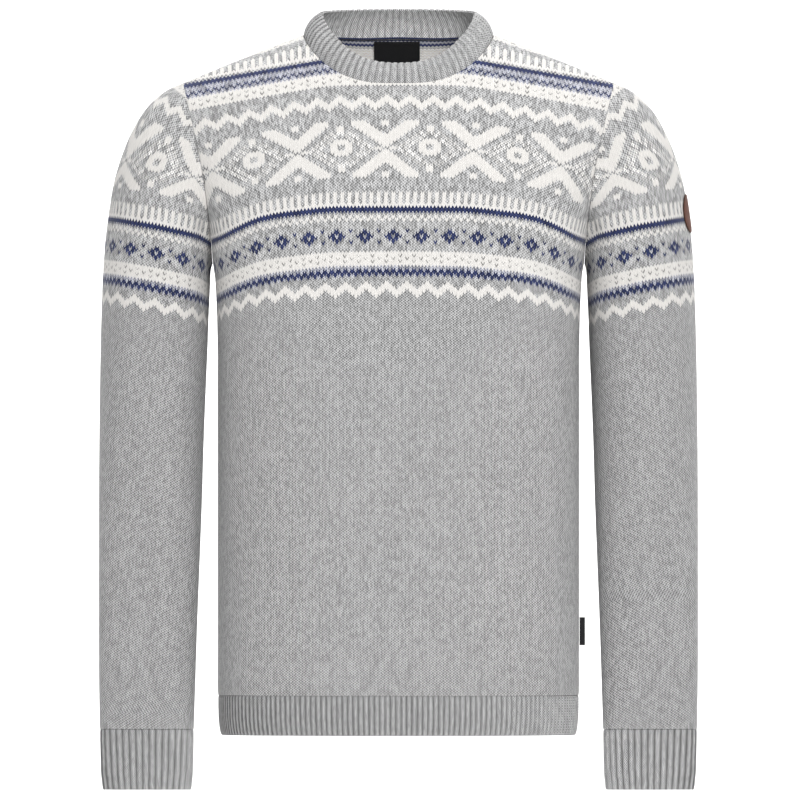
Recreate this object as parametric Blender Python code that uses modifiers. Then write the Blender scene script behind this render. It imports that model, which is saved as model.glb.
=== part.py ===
"""Nordic yoke sweater, filled out and hollow: front, back, two sleeves, neckband, welt, two cuffs, trim."""
import math

import bpy
import numpy as np

for item in list(bpy.data.objects):
    bpy.data.objects.remove(item, do_unlink=True)

MM = 0.001

# ---------------------------------------------------------------- sizes, in millimetres, origin at the neck
WALL = 2.2                 # knitted cloth
GAP = 0.3                  # between neighbouring pieces
RIB_WALL = 3.0             # ribbed cloth, crest to plain inside
RIB_GROOVE = 0.62          # share of RIB_WALL left under a groove

UNDERARM_Z = -223.0        # bottom of the armholes
WELT_TOP_Z = -646.0        # panels end, welt begins
HEM_Z = -685.0             # bottom of the welt
FRONT_DEPTH = 121.0        # body section, centre to front
BACK_DEPTH = 112.0         # body section, centre to back
FRONT_POWER = 1.95         # roundness of the front going up to the shoulder

RIDGE_Z = 1.0              # top of the shoulder beside the neck
RIDGE_X = 93.6
RIDGE_SLOPE = 0.4344
RIDGE_ROUND = 60.0
TIP_X = 211.0              # outer end of the shoulder, top of the armhole
SEAM_X = 76.0              # forward shoulder seam meets the neckband here
TIP_Z = RIDGE_Z - RIDGE_SLOPE * (math.hypot(TIP_X, RIDGE_ROUND) - math.hypot(RIDGE_X, RIDGE_ROUND))

NECK_FRONT = 83.0          # neck seam in plan
NECK_BACK = 68.0
NECK_FRONT_POWER = 2.5
NECK_BACK_POWER = 2.2
BAND_SIDE = 75.0           # top edge of the neckband in plan
BAND_FRONT = 64.0
BAND_BACK = 56.0
BAND_BULGE = 3.6

COLLAR_RIBS = 76
WELT_RIBS = 184
CUFF_RIBS = 34

NECK_COLUMNS = {"front": 5, "back": 6}      # half of a panel's columns that end on the neckline,
SHOULDER_COLUMNS = 7                        # on the shoulder seam,
SCOOP_COLUMNS = 3                           # and on the curve at the bottom of the armhole
BODY_ROWS = 5                               # level rows from the welt up
TURN_ROWS = 4                               # rows that bend to meet the armhole
CHEST_ROWS = 9                              # rows beside the armhole; the back's last three pass
YOKE_ROWS = 3                               # over the shoulder to the front
LEVEL_Z = -385.0                            # rows are level up to here
CHEST_TURN = 0.06                           # where the chest row starts at the centre
SCOOP_SHARE = 0.22                          # share of the armhole that is its bottom curve
YOKE_SHARE = 0.87                           # share of it where the back starts over the shoulder
SLIM = 0.014                                # share of a row kept for the narrow row beside a seam
BACK_ALONG = (0.0, 0.25, 0.47, 0.67, 0.84, 0.986, 1.0)     # the back's rows, closer towards the shoulder
LOWER_SCALE = 240.0                         # height per turn below the underarm

# the body by height: half width and squareness of its section, and how far out the armhole edge sits
BODY = {
    "z": (-686.0, -680.0, -672.0, -640.0, -500.0, -400.0, -310.0, -268.0, -249.0, -229.0, -223.0, -208.0,
          -178.0, -145.0, -120.0, -81.0, -46.5, 60.0),
    "half_width": (173.5, 175.0, 176.3, 177.0, 177.0, 177.0, 177.0, 177.9, 178.9, 180.2, 182.0, 183.5,
                   189.3, 204.4, 217.4, 235.8, 245.0, 245.0),
    "power": (2.5, 2.5, 2.5, 2.5, 2.54, 2.65, 2.9, 3.05, 3.13, 3.22, 3.25, 3.2, 3.0, 2.75, 2.62, 2.55,
              2.55, 2.55),
    "armhole_x": (182.0, 182.0, 182.0, 182.0, 182.0, 182.0, 182.0, 182.0, 182.0, 182.0, 182.0, 183.0,
                  186.0, 190.0, 194.5, 203.0, 211.0, 211.0),
}

# roundness of the back going up to the shoulder, by distance from the middle
BACK_RISE = {
    "x": (0.0, 60.0, 110.0, 160.0, 211.0),
    "power": (2.8, 2.75, 2.45, 2.15, 2.0),
}

# neckband's top edge: height by distance from the neck's middle, front is negative
BAND_TOP = {
    "y": (-64.0, -59.0, -46.6, -31.0, -16.0, 0.0, 56.0),
    "z": (-26.0, -18.6, -2.0, 11.5, 21.0, 24.5, 25.5),
}

# one row for each ring of the sleeve: outer and inner edge seen from the front, depth and squareness
SLEEVE = {
    "outer_x": (211.0, 228.8, 246.5, 259.2, 269.0, 278.3, 283.7, 287.6, 290.0, 291.5, 292.5, 293.2, 293.5,
                293.5, 293.5, 293.3, 292.5),
    "outer_z": (-46.5, -54.9, -70.6, -90.2, -111.7, -141.1, -172.5, -204.8, -242.0, -288.0, -337.0, -396.0,
                -455.0, -513.5, -572.3, -631.0, -678.8),
    "inner_x": (182.0, 182.9, 183.6, 184.1, 184.4, 184.6, 184.9, 185.4, 186.1, 187.0, 188.8, 190.8, 192.5,
                194.7, 197.0, 198.9, 200.4),
    "inner_z": (-223.0, -225.4, -228.2, -232.0, -237.0, -243.0, -250.5, -261.0, -276.5, -302.8, -345.0,
                -396.0, -455.0, -513.5, -572.3, -631.0, -678.8),
    "half_depth": (58.0, 60.0, 62.5, 64.5, 66.0, 67.0, 67.0, 66.0, 64.0, 60.5, 55.5, 49.0, 42.0, 35.5, 29.5,
                   24.0, 20.5),
    "middle_y": (2.0, 2.0, 2.0, 2.0, 2.0, 2.0, 2.0, 1.5, 1.0, 0.5, 0.0, -1.5, -4.0, -7.0, -10.0, -12.5, -14.0),
    "power": (2.3, 2.3, 2.3, 2.3, 2.3, 2.3, 2.3, 2.3, 2.3, 2.3, 2.3, 2.3, 2.35, 2.4, 2.45, 2.5, 2.5),
}
SLEEVE_FADE = 5            # rings over which the armhole's own shape fades out

CUFF = {
    "z": (-679.1, -720.0, -738.4),
    "middle_x": (246.45, 246.3, 246.2),
    "half_width": (46.2, 45.4, 43.6),
    "half_depth": (20.3, 17.0, 15.0),
    "middle_y": (-14.0, -16.0, -17.0),
}

LABEL = {"x": -1.5, "width": 45.0, "top": -5.0, "height": 40.0, "wall": 1.0}
TAG = {"top": -569.5, "height": 27.5, "reach": 5.2, "ply": 0.45, "fold": 0.5}
PATCH = {"ring": 6.03, "share": 0.03, "radius": 19.0, "wall": 1.4}

COLOURS = {
    "front_panel": (0.42, 0.42, 0.42),
    "back_panel": (0.42, 0.42, 0.42),
    "left_sleeve": (0.38, 0.38, 0.38),
    "right_sleeve": (0.38, 0.38, 0.38),
    "collar": (0.45, 0.45, 0.45),
    "hem_rib": (0.36, 0.36, 0.36),
    "left_cuff": (0.36, 0.36, 0.36),
    "right_cuff": (0.36, 0.36, 0.36),
    "neck_label": (0.012, 0.012, 0.015),
    "side_tag": (0.012, 0.012, 0.015),
    "sleeve_patch": (0.22, 0.08, 0.05),
}


# ---------------------------------------------------------------- curves
def unit(angle, power):
    """Point of a unit superellipse seen at this angle from its middle."""
    across, up = np.cos(angle), np.sin(angle)
    size = (np.abs(across) ** power + np.abs(up) ** power) ** (-1.0 / power)
    return across * size, up * size


def other(share, power):
    """The second coordinate of a unit superellipse from the first."""
    return (1.0 - np.clip(np.abs(share), 0.0, 1.0) ** power) ** (1.0 / power)


def spread(points, fractions):
    """Positions along a row of points at these shares of its length."""
    steps = np.linalg.norm(np.diff(points, axis=0), axis=1)
    length = np.concatenate(([0.0], np.cumsum(steps)))
    return np.interp(np.asarray(fractions) * length[-1], length, np.linspace(0.0, 1.0, len(points)))


def body_row(name, z):
    return np.interp(z, BODY["z"], BODY[name])


def ridge(x):
    return RIDGE_Z - RIDGE_SLOPE * (np.hypot(x, RIDGE_ROUND) - math.hypot(RIDGE_X, RIDGE_ROUND))


def back_power(x):
    return np.interp(np.abs(x), BACK_RISE["x"], BACK_RISE["power"])


# ---------------------------------------------------------------- the body's surface above the underarm
def torso(theta, beta, side):
    """theta runs from the side to the middle; beta from the underarm to the ridge, past it to the front, or down."""
    over = beta > math.pi / 2
    lift = np.where(over, math.pi - beta, np.maximum(beta, 0.0))
    front = over | (side == "front")
    x = np.cos(theta) * 200.0
    z = UNDERARM_Z + np.where(beta < 0.0, beta, np.sin(lift)) * LOWER_SCALE
    for _ in range(60):
        depth_share, rise = unit(lift, np.where(front, FRONT_POWER, back_power(x)))
        above = UNDERARM_Z + rise * (ridge(x) - UNDERARM_Z)
        z = 0.5 * z + 0.5 * np.where(beta < 0.0, UNDERARM_Z + LOWER_SCALE * beta, above)
        share, forward = unit(theta, body_row("power", z))
        x = share * body_row("half_width", z)
    y = np.where(front, -FRONT_DEPTH, BACK_DEPTH) * np.abs(depth_share) * forward
    return np.stack([x, y, z], axis=-1)


def angles_at(x, z, side):
    """theta and beta of the surface point seen at x, z."""
    power = FRONT_POWER if side == "front" else back_power(x)
    share = x / body_row("half_width", z)
    rise = np.clip((z - UNDERARM_Z) / (ridge(x) - UNDERARM_Z), 0.0, 1.0)
    forward = other(share, body_row("power", z))
    return np.stack([np.arctan2(forward, share), np.arctan2(rise, other(rise, power))], -1)


def angles_over(x, y):
    """theta and beta of the surface point at x, y near the neck; beta passes the ridge where y is forward."""
    forward = other(x / body_row("half_width", 0.0), body_row("power", 0.0))
    front = y < 0.0
    depth = np.where(front, FRONT_DEPTH, BACK_DEPTH)
    power = np.where(front, FRONT_POWER, back_power(x))
    depth_share = np.clip(np.abs(y) / (depth * forward), 0.0, 1.0)
    beta = np.arctan2((1.0 - depth_share ** power) ** (1.0 / power), depth_share)
    theta = np.arctan2(forward, x / body_row("half_width", 0.0))
    return np.stack([theta, np.where(front, math.pi - beta, beta)], -1)


def neck_plan(turn):
    """Neck seam in plan; turn is 0 at centre front, pi at centre back."""
    front = turn < math.pi / 2
    power = np.where(front, NECK_FRONT_POWER, NECK_BACK_POWER)
    out, side = unit(np.where(front, turn, math.pi - turn), power)
    return RIDGE_X * side, np.where(front, -NECK_FRONT, NECK_BACK) * out


def seam_angles(share):
    """The forward shoulder seam, from the neckband to the tip."""
    start = angles_over(*neck_plan(np.array((CORNER_TURN,))))
    corner = torso(start[:, 0], start[:, 1], "back")[0]
    x = corner[0] + share * (TIP_X - corner[0])
    z = corner[2] + share * (TIP_Z - corner[2])
    return angles_at(x, z, "front")


def armhole_angles(share, side):
    z = UNDERARM_Z + share * (TIP_Z - UNDERARM_Z)
    found = angles_at(body_row("armhole_x", z), z, side)
    found[..., 1] = np.where(share >= 1.0, math.pi / 2, found[..., 1])
    return found


def fitted(angles, side, fractions):
    """Angles respaced to these shares of the true length of their curve."""
    place = spread(torso(angles[:, 0], angles[:, 1], side), fractions) * (len(angles) - 1)
    index = np.arange(len(angles))
    return np.stack([np.interp(place, index, angles[:, 0]), np.interp(place, index, angles[:, 1])], -1)


def with_slim(count, slim):
    """Equal shares with a narrow last one."""
    return np.append(np.linspace(0.0, 1.0 - slim, count), 1.0)


CORNER_TURN = float(np.interp(SEAM_X, neck_plan(np.linspace(0.0, 1.5, 400))[0], np.linspace(0.0, 1.5, 400)))
FINE = np.linspace(0.0, 1.0, 600)


def neck_angles(side, start, end):
    """Neckline between two turns of its plan."""
    found = angles_over(*neck_plan(start + (end - start) * FINE))
    if side == "front":
        found[:, 1] = math.pi - found[:, 1]
    return found


def shoulder_angles(side):
    """Forward shoulder seam from the neckline's corner to the tip."""
    found = seam_angles(FINE)
    if side == "back":
        found[:, 1] = math.pi - found[:, 1]
    return fitted(found, side, with_slim(SHOULDER_COLUMNS, 0.02))


def coons(bottom, top, left, right, across, along):
    """Grid of angles between four edges."""
    f = across[None, :, None]
    v = along[:, None, None]
    corners = (1 - v) * ((1 - f) * bottom[0] + f * bottom[-1]) + v * ((1 - f) * top[0] + f * top[-1])
    return (1 - v) * bottom[None] + v * top[None] + (1 - f) * left[:, None] + f * right[:, None] - corners


def armhole_edge(side):
    """Seam from the underarm up to the tip: the bottom curve, then the rows beside it."""
    scoop = np.linspace(0.0, SCOOP_SHARE, SCOOP_COLUMNS + 1)
    if side == "front":
        beside = SCOOP_SHARE + (1.0 - SCOOP_SHARE) * with_slim(CHEST_ROWS, 0.02)
    else:
        beside = SCOOP_SHARE + (YOKE_SHARE - SCOOP_SHARE) * np.array(BACK_ALONG)
        over = YOKE_SHARE + (1.0 - YOKE_SHARE) * with_slim(YOKE_ROWS, 0.09)
        beside = np.concatenate([beside, over[1:]])
    return fitted(armhole_angles(FINE, side), side, np.concatenate([scoop, beside[1:]]))


def panel_half(side):
    """Grid of points from centre to edge, hem to top, for x at or above 0; unused corners are nan."""
    neck = NECK_COLUMNS[side]
    inner = neck + SHOULDER_COLUMNS
    edge = armhole_edge(side)
    beside = edge[SCOOP_COLUMNS:]
    across = with_slim(inner, 0.012)
    chest = np.array((math.pi / 2, CHEST_TURN)) * (1.0 - FINE[:, None]) + beside[0] * FINE[:, None]
    chest = fitted(chest, side, across)
    turned = np.concatenate([chest, edge[:SCOOP_COLUMNS][::-1]])
    section = np.stack([np.linspace(math.pi / 2, 0.0, 600), np.full(600, -1.0)], -1)
    level = fitted(section, side, np.linspace(0.0, 1.0, inner + SCOOP_COLUMNS + 1))
    rows = []
    for z in np.linspace(WELT_TOP_Z + 1.5 * GAP, LEVEL_Z, BODY_ROWS + 1):
        rows.append(np.stack([level[:, 0], np.full(len(level), (z - UNDERARM_Z) / LOWER_SCALE)], -1))
    for share in np.linspace(0.0, 1.0, TURN_ROWS + 1)[1:]:
        rows.append((1.0 - share) * rows[BODY_ROWS] + share * turned)
    seam = shoulder_angles(side)
    if side == "front":
        count = CHEST_ROWS
        neckline = fitted(neck_angles(side, 0.0, CORNER_TURN), side, np.linspace(0.0, 1.0, neck + 1))
        top = np.concatenate([neckline[:-1], seam])
    else:
        count = CHEST_ROWS - YOKE_ROWS
        neckline = fitted(neck_angles(side, math.pi, math.pi / 2), side, np.linspace(0.0, 1.0, neck + 1))
        share = with_slim(SHOULDER_COLUMNS, 0.02)[:, None]
        over = (1 - share) * neckline[-1] + share * beside[count]
        top = np.concatenate([neckline[:-1], over])
    along = with_slim(count, SLIM) if side == "front" else np.array(BACK_ALONG)
    middle = np.stack([np.full(600, math.pi / 2), CHEST_TURN + (top[0, 1] - CHEST_TURN) * FINE], -1)
    middle = fitted(middle, side, along)
    upper = coons(chest, top, middle, beside[: count + 1], across, along)[1:]
    if side == "back":
        left = neck_angles(side, math.pi / 2, CORNER_TURN)
        left = fitted(left, side, with_slim(YOKE_ROWS, 0.05))
        yoke = coons(over, seam, left, beside[count:], share[:, 0], with_slim(YOKE_ROWS, 0.05))
        notch = np.full((YOKE_ROWS, neck, 2), np.nan)
        upper = np.concatenate([upper, np.concatenate([notch, yoke[1:]], axis=1)])
    scoop = np.full((len(upper), SCOOP_COLUMNS, 2), np.nan)
    angles = np.concatenate([np.stack(rows), np.concatenate([upper, scoop], axis=1)])
    return torso(angles[..., 0], angles[..., 1], side)


def pulled(grid, gap, side):
    """Edge points moved back from the seams round a half panel."""
    out = grid.copy()
    bend = BODY_ROWS + TURN_ROWS
    inner = NECK_COLUMNS[side] + SHOULDER_COLUMNS
    neck = NECK_COLUMNS[side] if side == "back" else 0
    moves = [(np.s_[-1, neck: inner + 1], np.s_[-2, neck: inner + 1]),
             (np.s_[bend:, inner], np.s_[bend:, inner - 1]),
             (np.s_[bend, inner:], np.s_[bend - 1, inner:]),
             (np.s_[: bend + 1, -1], np.s_[: bend + 1, -2])]
    if side == "back":
        low = len(grid) - 1 - YOKE_ROWS
        moves.append((np.s_[low, : neck + 1], np.s_[low - 1, : neck + 1]))
        moves.append((np.s_[low:, neck], np.s_[low:, neck + 1]))
    for edge, beside in moves:
        step = grid[beside] - grid[edge]
        out[edge] += gap * step / np.linalg.norm(step, axis=-1, keepdims=True)
    return out


def panel(side):
    half = pulled(panel_half(side), GAP / 2, side)
    half[:, 0, 0] *= 0.0
    mirrored = half[:, :0:-1] * (-1.0, 1.0, 1.0)
    return np.concatenate([mirrored, half], axis=1)


# ---------------------------------------------------------------- sleeves
def armhole_loop():
    """The seam from the tip, down the front to the underarm, and up the back."""
    sides = {}
    for side in ("front", "back"):
        found = armhole_edge(side)
        sides[side] = torso(found[:, 0], found[:, 1], side)
    return np.concatenate([sides["front"][::-1], sides["back"][1:-1]])


def ring_between(outer, inner, half_depth, middle_y, power, shares):
    """Superellipse from the outer point, round the front to the inner point and back."""
    turns = np.linspace(0.0, 2 * math.pi, 721)
    out, side = unit(turns, power)
    middle, reach = (outer + inner) / 2, (outer - inner) / 2
    points = middle + out[:, None] * reach - side[:, None] * np.array((0.0, half_depth, 0.0))
    points[:, 1] += middle_y
    place = spread(points, np.asarray(shares) % 1.0) * 720
    return np.stack([np.interp(place, np.arange(721), points[:, k]) for k in range(3)], -1)


def sleeve():
    """Rings of the wearer's left sleeve, armhole to cuff."""
    loop = armhole_loop()
    count = len(loop)
    closed = np.concatenate([loop, loop[:1]])
    steps = np.linalg.norm(np.diff(closed, axis=0), axis=1)
    worn = np.concatenate(([0.0], np.cumsum(steps)))[:-1] / steps.sum()
    bottom = SCOOP_COLUMNS + CHEST_ROWS
    half = worn[bottom]
    front = worn[: bottom + 1] / half * 0.5
    back = 0.5 + (worn[bottom + 1:] - half) / (1.0 - half) * 0.5
    first = np.concatenate([front, back])
    even = np.arange(count) / count
    rings = []
    columns = [SLEEVE[name] for name in ("outer_x", "outer_z", "inner_x", "inner_z", "half_depth", "middle_y",
                                         "power")]
    for k, (ox, oz, ix, iz, deep, middle_y, power) in enumerate(zip(*columns)):
        fade = min(k / SLEEVE_FADE, 1.0)
        fade = fade * fade * (3.0 - 2.0 * fade)
        shares = (1.0 - fade) * first + fade * even
        outer, inner = np.array((ox, 0.0, oz)), np.array((ix, 0.0, iz))
        ring = ring_between(outer, inner, deep, middle_y, power, shares)
        if k == 0:
            rest = loop - ring
        rings.append(ring + (1.0 - fade) * rest)
    rings = np.stack(rings)
    rings[0] += (GAP + 0.05, 0.0, 0.0)
    return rings


def cuff():
    """Rings of the wearer's left cuff, two points for each rib."""
    shares = np.arange(2 * CUFF_RIBS) / (2 * CUFF_RIBS)
    rings = []
    for z, x, wide, deep, y in zip(*(CUFF[name] for name in ("z", "middle_x", "half_width", "half_depth",
                                                            "middle_y"))):
        outer, inner = np.array((x + wide, 0.0, z)), np.array((x - wide, 0.0, z))
        rings.append(ring_between(outer, inner, deep, y, 2.5, shares))
    return np.stack(rings)


# ---------------------------------------------------------------- welt and neckband
def welt():
    """Rings of the welt, two points for each rib."""
    turns = np.linspace(0.0, 2 * math.pi, 1441)
    rings = []
    for z in (HEM_Z, WELT_TOP_Z):
        across, up = unit(turns, body_row("power", z))
        depth = np.where(up < 0.0, FRONT_DEPTH, BACK_DEPTH) * body_row("half_width", z) / 177.0
        points = np.stack([body_row("half_width", z) * across, depth * up, np.full(1441, z)], -1)
        place = spread(points, np.arange(2 * WELT_RIBS) / (2 * WELT_RIBS)) * 1440
        rings.append(np.stack([np.interp(place, np.arange(1441), points[:, k]) for k in range(3)], -1))
    return np.stack(rings)


def neck_seam():
    """The panels' neckline corners, all the way round from centre front by the wearer's left."""
    pieces = (("front", 0.0, CORNER_TURN, np.linspace(0.0, 1.0, NECK_COLUMNS["front"] + 1)),
              ("back", CORNER_TURN, math.pi / 2, 1.0 - with_slim(YOKE_ROWS, 0.05)[::-1]),
              ("back", math.pi / 2, math.pi, np.linspace(0.0, 1.0, NECK_COLUMNS["back"] + 1)))
    half = []
    for side, start, end, shares in pieces:
        found = fitted(neck_angles(side, start, end), side, shares)
        half.append(torso(found[:, 0], found[:, 1], side)[:-1])
    half = np.concatenate(half + [torso(found[-1:, 0], found[-1:, 1], "back")])
    return np.concatenate([half, half[-2:0:-1] * (-1.0, 1.0, 1.0)])


def collar():
    """Rings of the neckband, two points for each rib."""
    seam = neck_seam()
    closed = np.concatenate([seam, seam[:1]])
    place = spread(closed, np.arange(2 * COLLAR_RIBS) / (2 * COLLAR_RIBS)) * len(seam)
    low = np.stack([np.interp(place, np.arange(len(closed)), closed[:, k]) for k in range(3)], -1)
    turns = np.linspace(0.0, 2 * math.pi, 1441)
    folded = np.minimum(turns, 2 * math.pi - turns)
    front = folded < math.pi / 2
    out, side = unit(np.where(front, folded, math.pi - folded), np.where(front, 2.5, 2.2))
    x = BAND_SIDE * side * np.where(turns <= math.pi, 1.0, -1.0)
    y = np.where(front, -BAND_FRONT, BAND_BACK) * out
    high = np.stack([x, y, np.interp(y, BAND_TOP["y"], BAND_TOP["z"])], -1)
    place = spread(high, np.arange(2 * COLLAR_RIBS) / (2 * COLLAR_RIBS)) * 1440
    high = np.stack([np.interp(place, np.arange(1441), high[:, k]) for k in range(3)], -1)
    rise = high - low
    along = np.roll(low, -1, axis=0) - np.roll(low, 1, axis=0)
    outward = np.cross(along, rise)
    outward /= np.linalg.norm(outward, axis=1, keepdims=True)
    rings = [low + share * rise + BAND_BULGE * math.sin(math.pi * share) * outward
             for share in (0.0, 0.35, 0.72, 1.0)]
    rings = np.stack(rings)
    rings[0] += GAP * (rings[1] - rings[0]) / np.linalg.norm(rings[1] - rings[0], axis=1, keepdims=True)
    return rings


# ---------------------------------------------------------------- meshes
def normals_of(grid, closed):
    """Unit normals of a grid of points, by the steps along its rows and columns."""
    if closed:
        along = np.roll(grid, -1, axis=1) - np.roll(grid, 1, axis=1)
    else:
        along = np.gradient(grid, axis=1)
    out = np.cross(along, np.gradient(grid, axis=0))
    return out / np.linalg.norm(out, axis=-1, keepdims=True)


def sheet(name, grid, closed=False, thickness=WALL, offset=-1.0, weights=None, flip=False, filled=False):
    """An open surface from a grid of points, given its wall by Solidify."""
    rows, columns = grid.shape[:2]
    faces = []
    for r in range(rows - 1):
        for c in range(columns if closed else columns - 1):
            d = (c + 1) % columns
            face = (r * columns + c, r * columns + d, (r + 1) * columns + d, (r + 1) * columns + c)
            faces.append(face[::-1] if flip else face)
    if filled:
        faces.append(tuple(range(columns))[::-1])
    points = grid.reshape(-1, 3) * MM
    kept = np.flatnonzero(~np.isnan(points[:, 0]))
    number = dict(zip(kept.tolist(), range(len(kept))))
    faces = [[number[i] for i in face] for face in faces if all(i in number for i in face)]
    mesh = bpy.data.meshes.new(name)
    mesh.from_pydata(points[kept].tolist(), [], faces)
    thing = bpy.data.objects.new(name, mesh)
    collection.objects.link(thing)
    material = bpy.data.materials.new(name)
    material.use_nodes = True
    shader = material.node_tree.nodes["Principled BSDF"]
    shader.inputs["Base Color"].default_value = (*COLOURS[name], 1.0)
    shader.inputs["Roughness"].default_value = 0.95
    mesh.materials.append(material)
    solid = thing.modifiers.new("wall", "SOLIDIFY")
    solid.thickness = thickness * MM
    solid.offset = offset
    solid.use_even_offset = True
    solid.use_rim = True
    facets = thing.modifiers.new("facets", "TRIANGULATE")
    facets.quad_method = "SHORTEST_DIAGONAL"
    if weights is not None:
        group = thing.vertex_groups.new(name="rib")
        for index, weight in enumerate(weights.reshape(-1).tolist()):
            group.add([index], weight, "REPLACE")
        solid.vertex_group = "rib"
        solid.thickness_vertex_group = RIB_GROOVE
    return thing


def ribbed(name, rings):
    """A ribbed tube: plain inside, every other outer point raised."""
    inside = rings - normals_of(rings, True) * RIB_WALL
    weights = np.broadcast_to(np.arange(rings.shape[1]) % 2, rings.shape[:2]).astype(float)
    return sheet(name, inside, closed=True, thickness=RIB_WALL, offset=1.0, weights=weights)


def mirrored(rings):
    """The same rings on the wearer's right, running the same way round."""
    return np.roll(rings[:, ::-1], 1, axis=1) * (-1.0, 1.0, 1.0)


collection = bpy.data.collections.new("nordic_yoke_sweater")
bpy.context.scene.collection.children.link(collection)

sheet("front_panel", panel("front"))
sheet("back_panel", panel("back"), flip=True)

sleeve_rings = sleeve()
cuff_rings = cuff()
sheet("left_sleeve", sleeve_rings, closed=True)
sheet("right_sleeve", mirrored(sleeve_rings), closed=True)
ribbed("left_cuff", cuff_rings)
ribbed("right_cuff", mirrored(cuff_rings))
ribbed("hem_rib", welt())
ribbed("collar", collar())


# ---------------------------------------------------------------- trim
def label():
    """Folded label on the inside of the back, below the neckband, made from the back's own points."""
    low = BODY_ROWS + TURN_ROWS + CHEST_ROWS - YOKE_ROWS
    centre = back_grid.shape[1] // 2
    block = back_grid[low - 3: low + 1, centre - 2: centre + 3]
    block = block + normals_of(block, False) * (WALL + GAP + 0.15)
    rows = []
    for height in np.linspace(LABEL["top"] - LABEL["height"], LABEL["top"], 5):
        row = np.stack([[np.interp(height, block[:, c, 2], block[:, c, k]) for k in range(3)] for c in range(5)])
        x = LABEL["x"] + LABEL["width"] * np.linspace(-0.5, 0.5, 5)
        rows.append(np.stack([np.interp(x, row[:, 0], row[:, k]) for k in range(3)], -1))
    return np.stack(rows)


def tag():
    """Small tag folded over, standing out of the wearer's left side seam."""
    ply, fold, reach = TAG["ply"], TAG["fold"], TAG["reach"]
    start = 177.0 + GAP + 0.1
    bend = np.linspace(-math.pi / 2, math.pi / 2, 7)
    x = np.concatenate([[start], start + reach - fold + fold * np.cos(bend), [start]])
    y = np.concatenate([[-fold], fold * np.sin(bend), [fold]])
    z = TAG["top"] - TAG["height"] * np.array((1.0, 0.0))
    return np.stack([np.stack([x, y, np.full(len(x), height)], -1) for height in z])


def sleeve_at(ring, share):
    """Outside of the sleeve below its cap, at a ring number and a share of the way round."""
    low = int(math.floor(ring))
    ends = []
    for k in (low, low + 1):
        row = {name: values[k] for name, values in SLEEVE.items()}
        outer = np.array((row["outer_x"], 0.0, row["outer_z"]))
        inner = np.array((row["inner_x"], 0.0, row["inner_z"]))
        ends.append(ring_between(outer, inner, row["half_depth"], row["middle_y"], row["power"], [share])[0])
    return ends[0] + (ring - low) * (ends[1] - ends[0])


def patch():
    """Round patch on the outside of the wearer's left sleeve."""
    ring, share, radius = PATCH["ring"], PATCH["share"], PATCH["radius"]
    down = np.linalg.norm(sleeve_at(ring + 0.5, share) - sleeve_at(ring - 0.5, share))
    girth = np.linalg.norm(sleeve_at(ring, share + 0.02) - sleeve_at(ring, share - 0.02)) / 0.04
    rings = []
    for part in (0.3, 0.65, 1.0):
        turns = np.linspace(0.0, 2 * math.pi, 29)[:-1]
        rings.append([sleeve_at(ring + part * radius * math.cos(t) / down, share + part * radius * math.sin(t) / girth)
                      for t in turns])
    rings = np.array(rings)
    return rings + normals_of(rings, True) * (GAP + 0.1)


back_grid = panel("back")
sheet("neck_label", label(), thickness=LABEL["wall"], offset=1.0)
sheet("side_tag", tag(), thickness=TAG["ply"], offset=0.0, flip=True)
sheet("sleeve_patch", patch(), closed=True, thickness=PATCH["wall"], offset=1.0, filled=True)
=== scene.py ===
"""Nordic yoke sweater, dressed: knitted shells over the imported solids, with a plain pale studio."""
import math

import bpy
import numpy as np
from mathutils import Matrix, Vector


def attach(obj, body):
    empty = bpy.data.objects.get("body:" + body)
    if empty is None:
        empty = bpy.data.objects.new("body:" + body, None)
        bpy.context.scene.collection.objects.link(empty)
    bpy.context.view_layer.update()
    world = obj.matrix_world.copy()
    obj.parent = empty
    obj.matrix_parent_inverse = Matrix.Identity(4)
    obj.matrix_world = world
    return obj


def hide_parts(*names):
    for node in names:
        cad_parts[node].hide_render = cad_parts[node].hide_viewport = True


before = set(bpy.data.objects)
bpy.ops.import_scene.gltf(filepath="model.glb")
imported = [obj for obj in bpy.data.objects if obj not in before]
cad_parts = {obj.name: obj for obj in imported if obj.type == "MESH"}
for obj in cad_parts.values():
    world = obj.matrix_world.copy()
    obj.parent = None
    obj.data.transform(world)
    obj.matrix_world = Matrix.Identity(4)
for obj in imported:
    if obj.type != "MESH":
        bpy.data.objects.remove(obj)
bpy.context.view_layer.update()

# ---------------------------------------------------------------- studio
# A long lens at the middle of the sweater's height, straight in front. A pale sweep of paper is floor and
# backdrop; large soft lamps stand left, right and in front, and a white world fills the shade.
scene = bpy.context.scene
scene.view_settings.view_transform = "Standard"
scene.view_settings.look = "None"

VIEW_WIDTH = 0.784
VIEW_CENTRE = (0.0015, -0.3567)
CAMERA_DISTANCE = 30.0

camera_data = bpy.data.cameras.new("camera")
camera_data.lens = 36.0 * CAMERA_DISTANCE / VIEW_WIDTH
camera_data.clip_end = 60.0
camera = bpy.data.objects.new("camera", camera_data)
camera.location = (VIEW_CENTRE[0], -CAMERA_DISTANCE, VIEW_CENTRE[1])
camera.rotation_euler = (math.radians(90.0), 0.0, 0.0)
scene.collection.objects.link(camera)
scene.camera = camera

FLOOR_Z = -1.45


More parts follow.
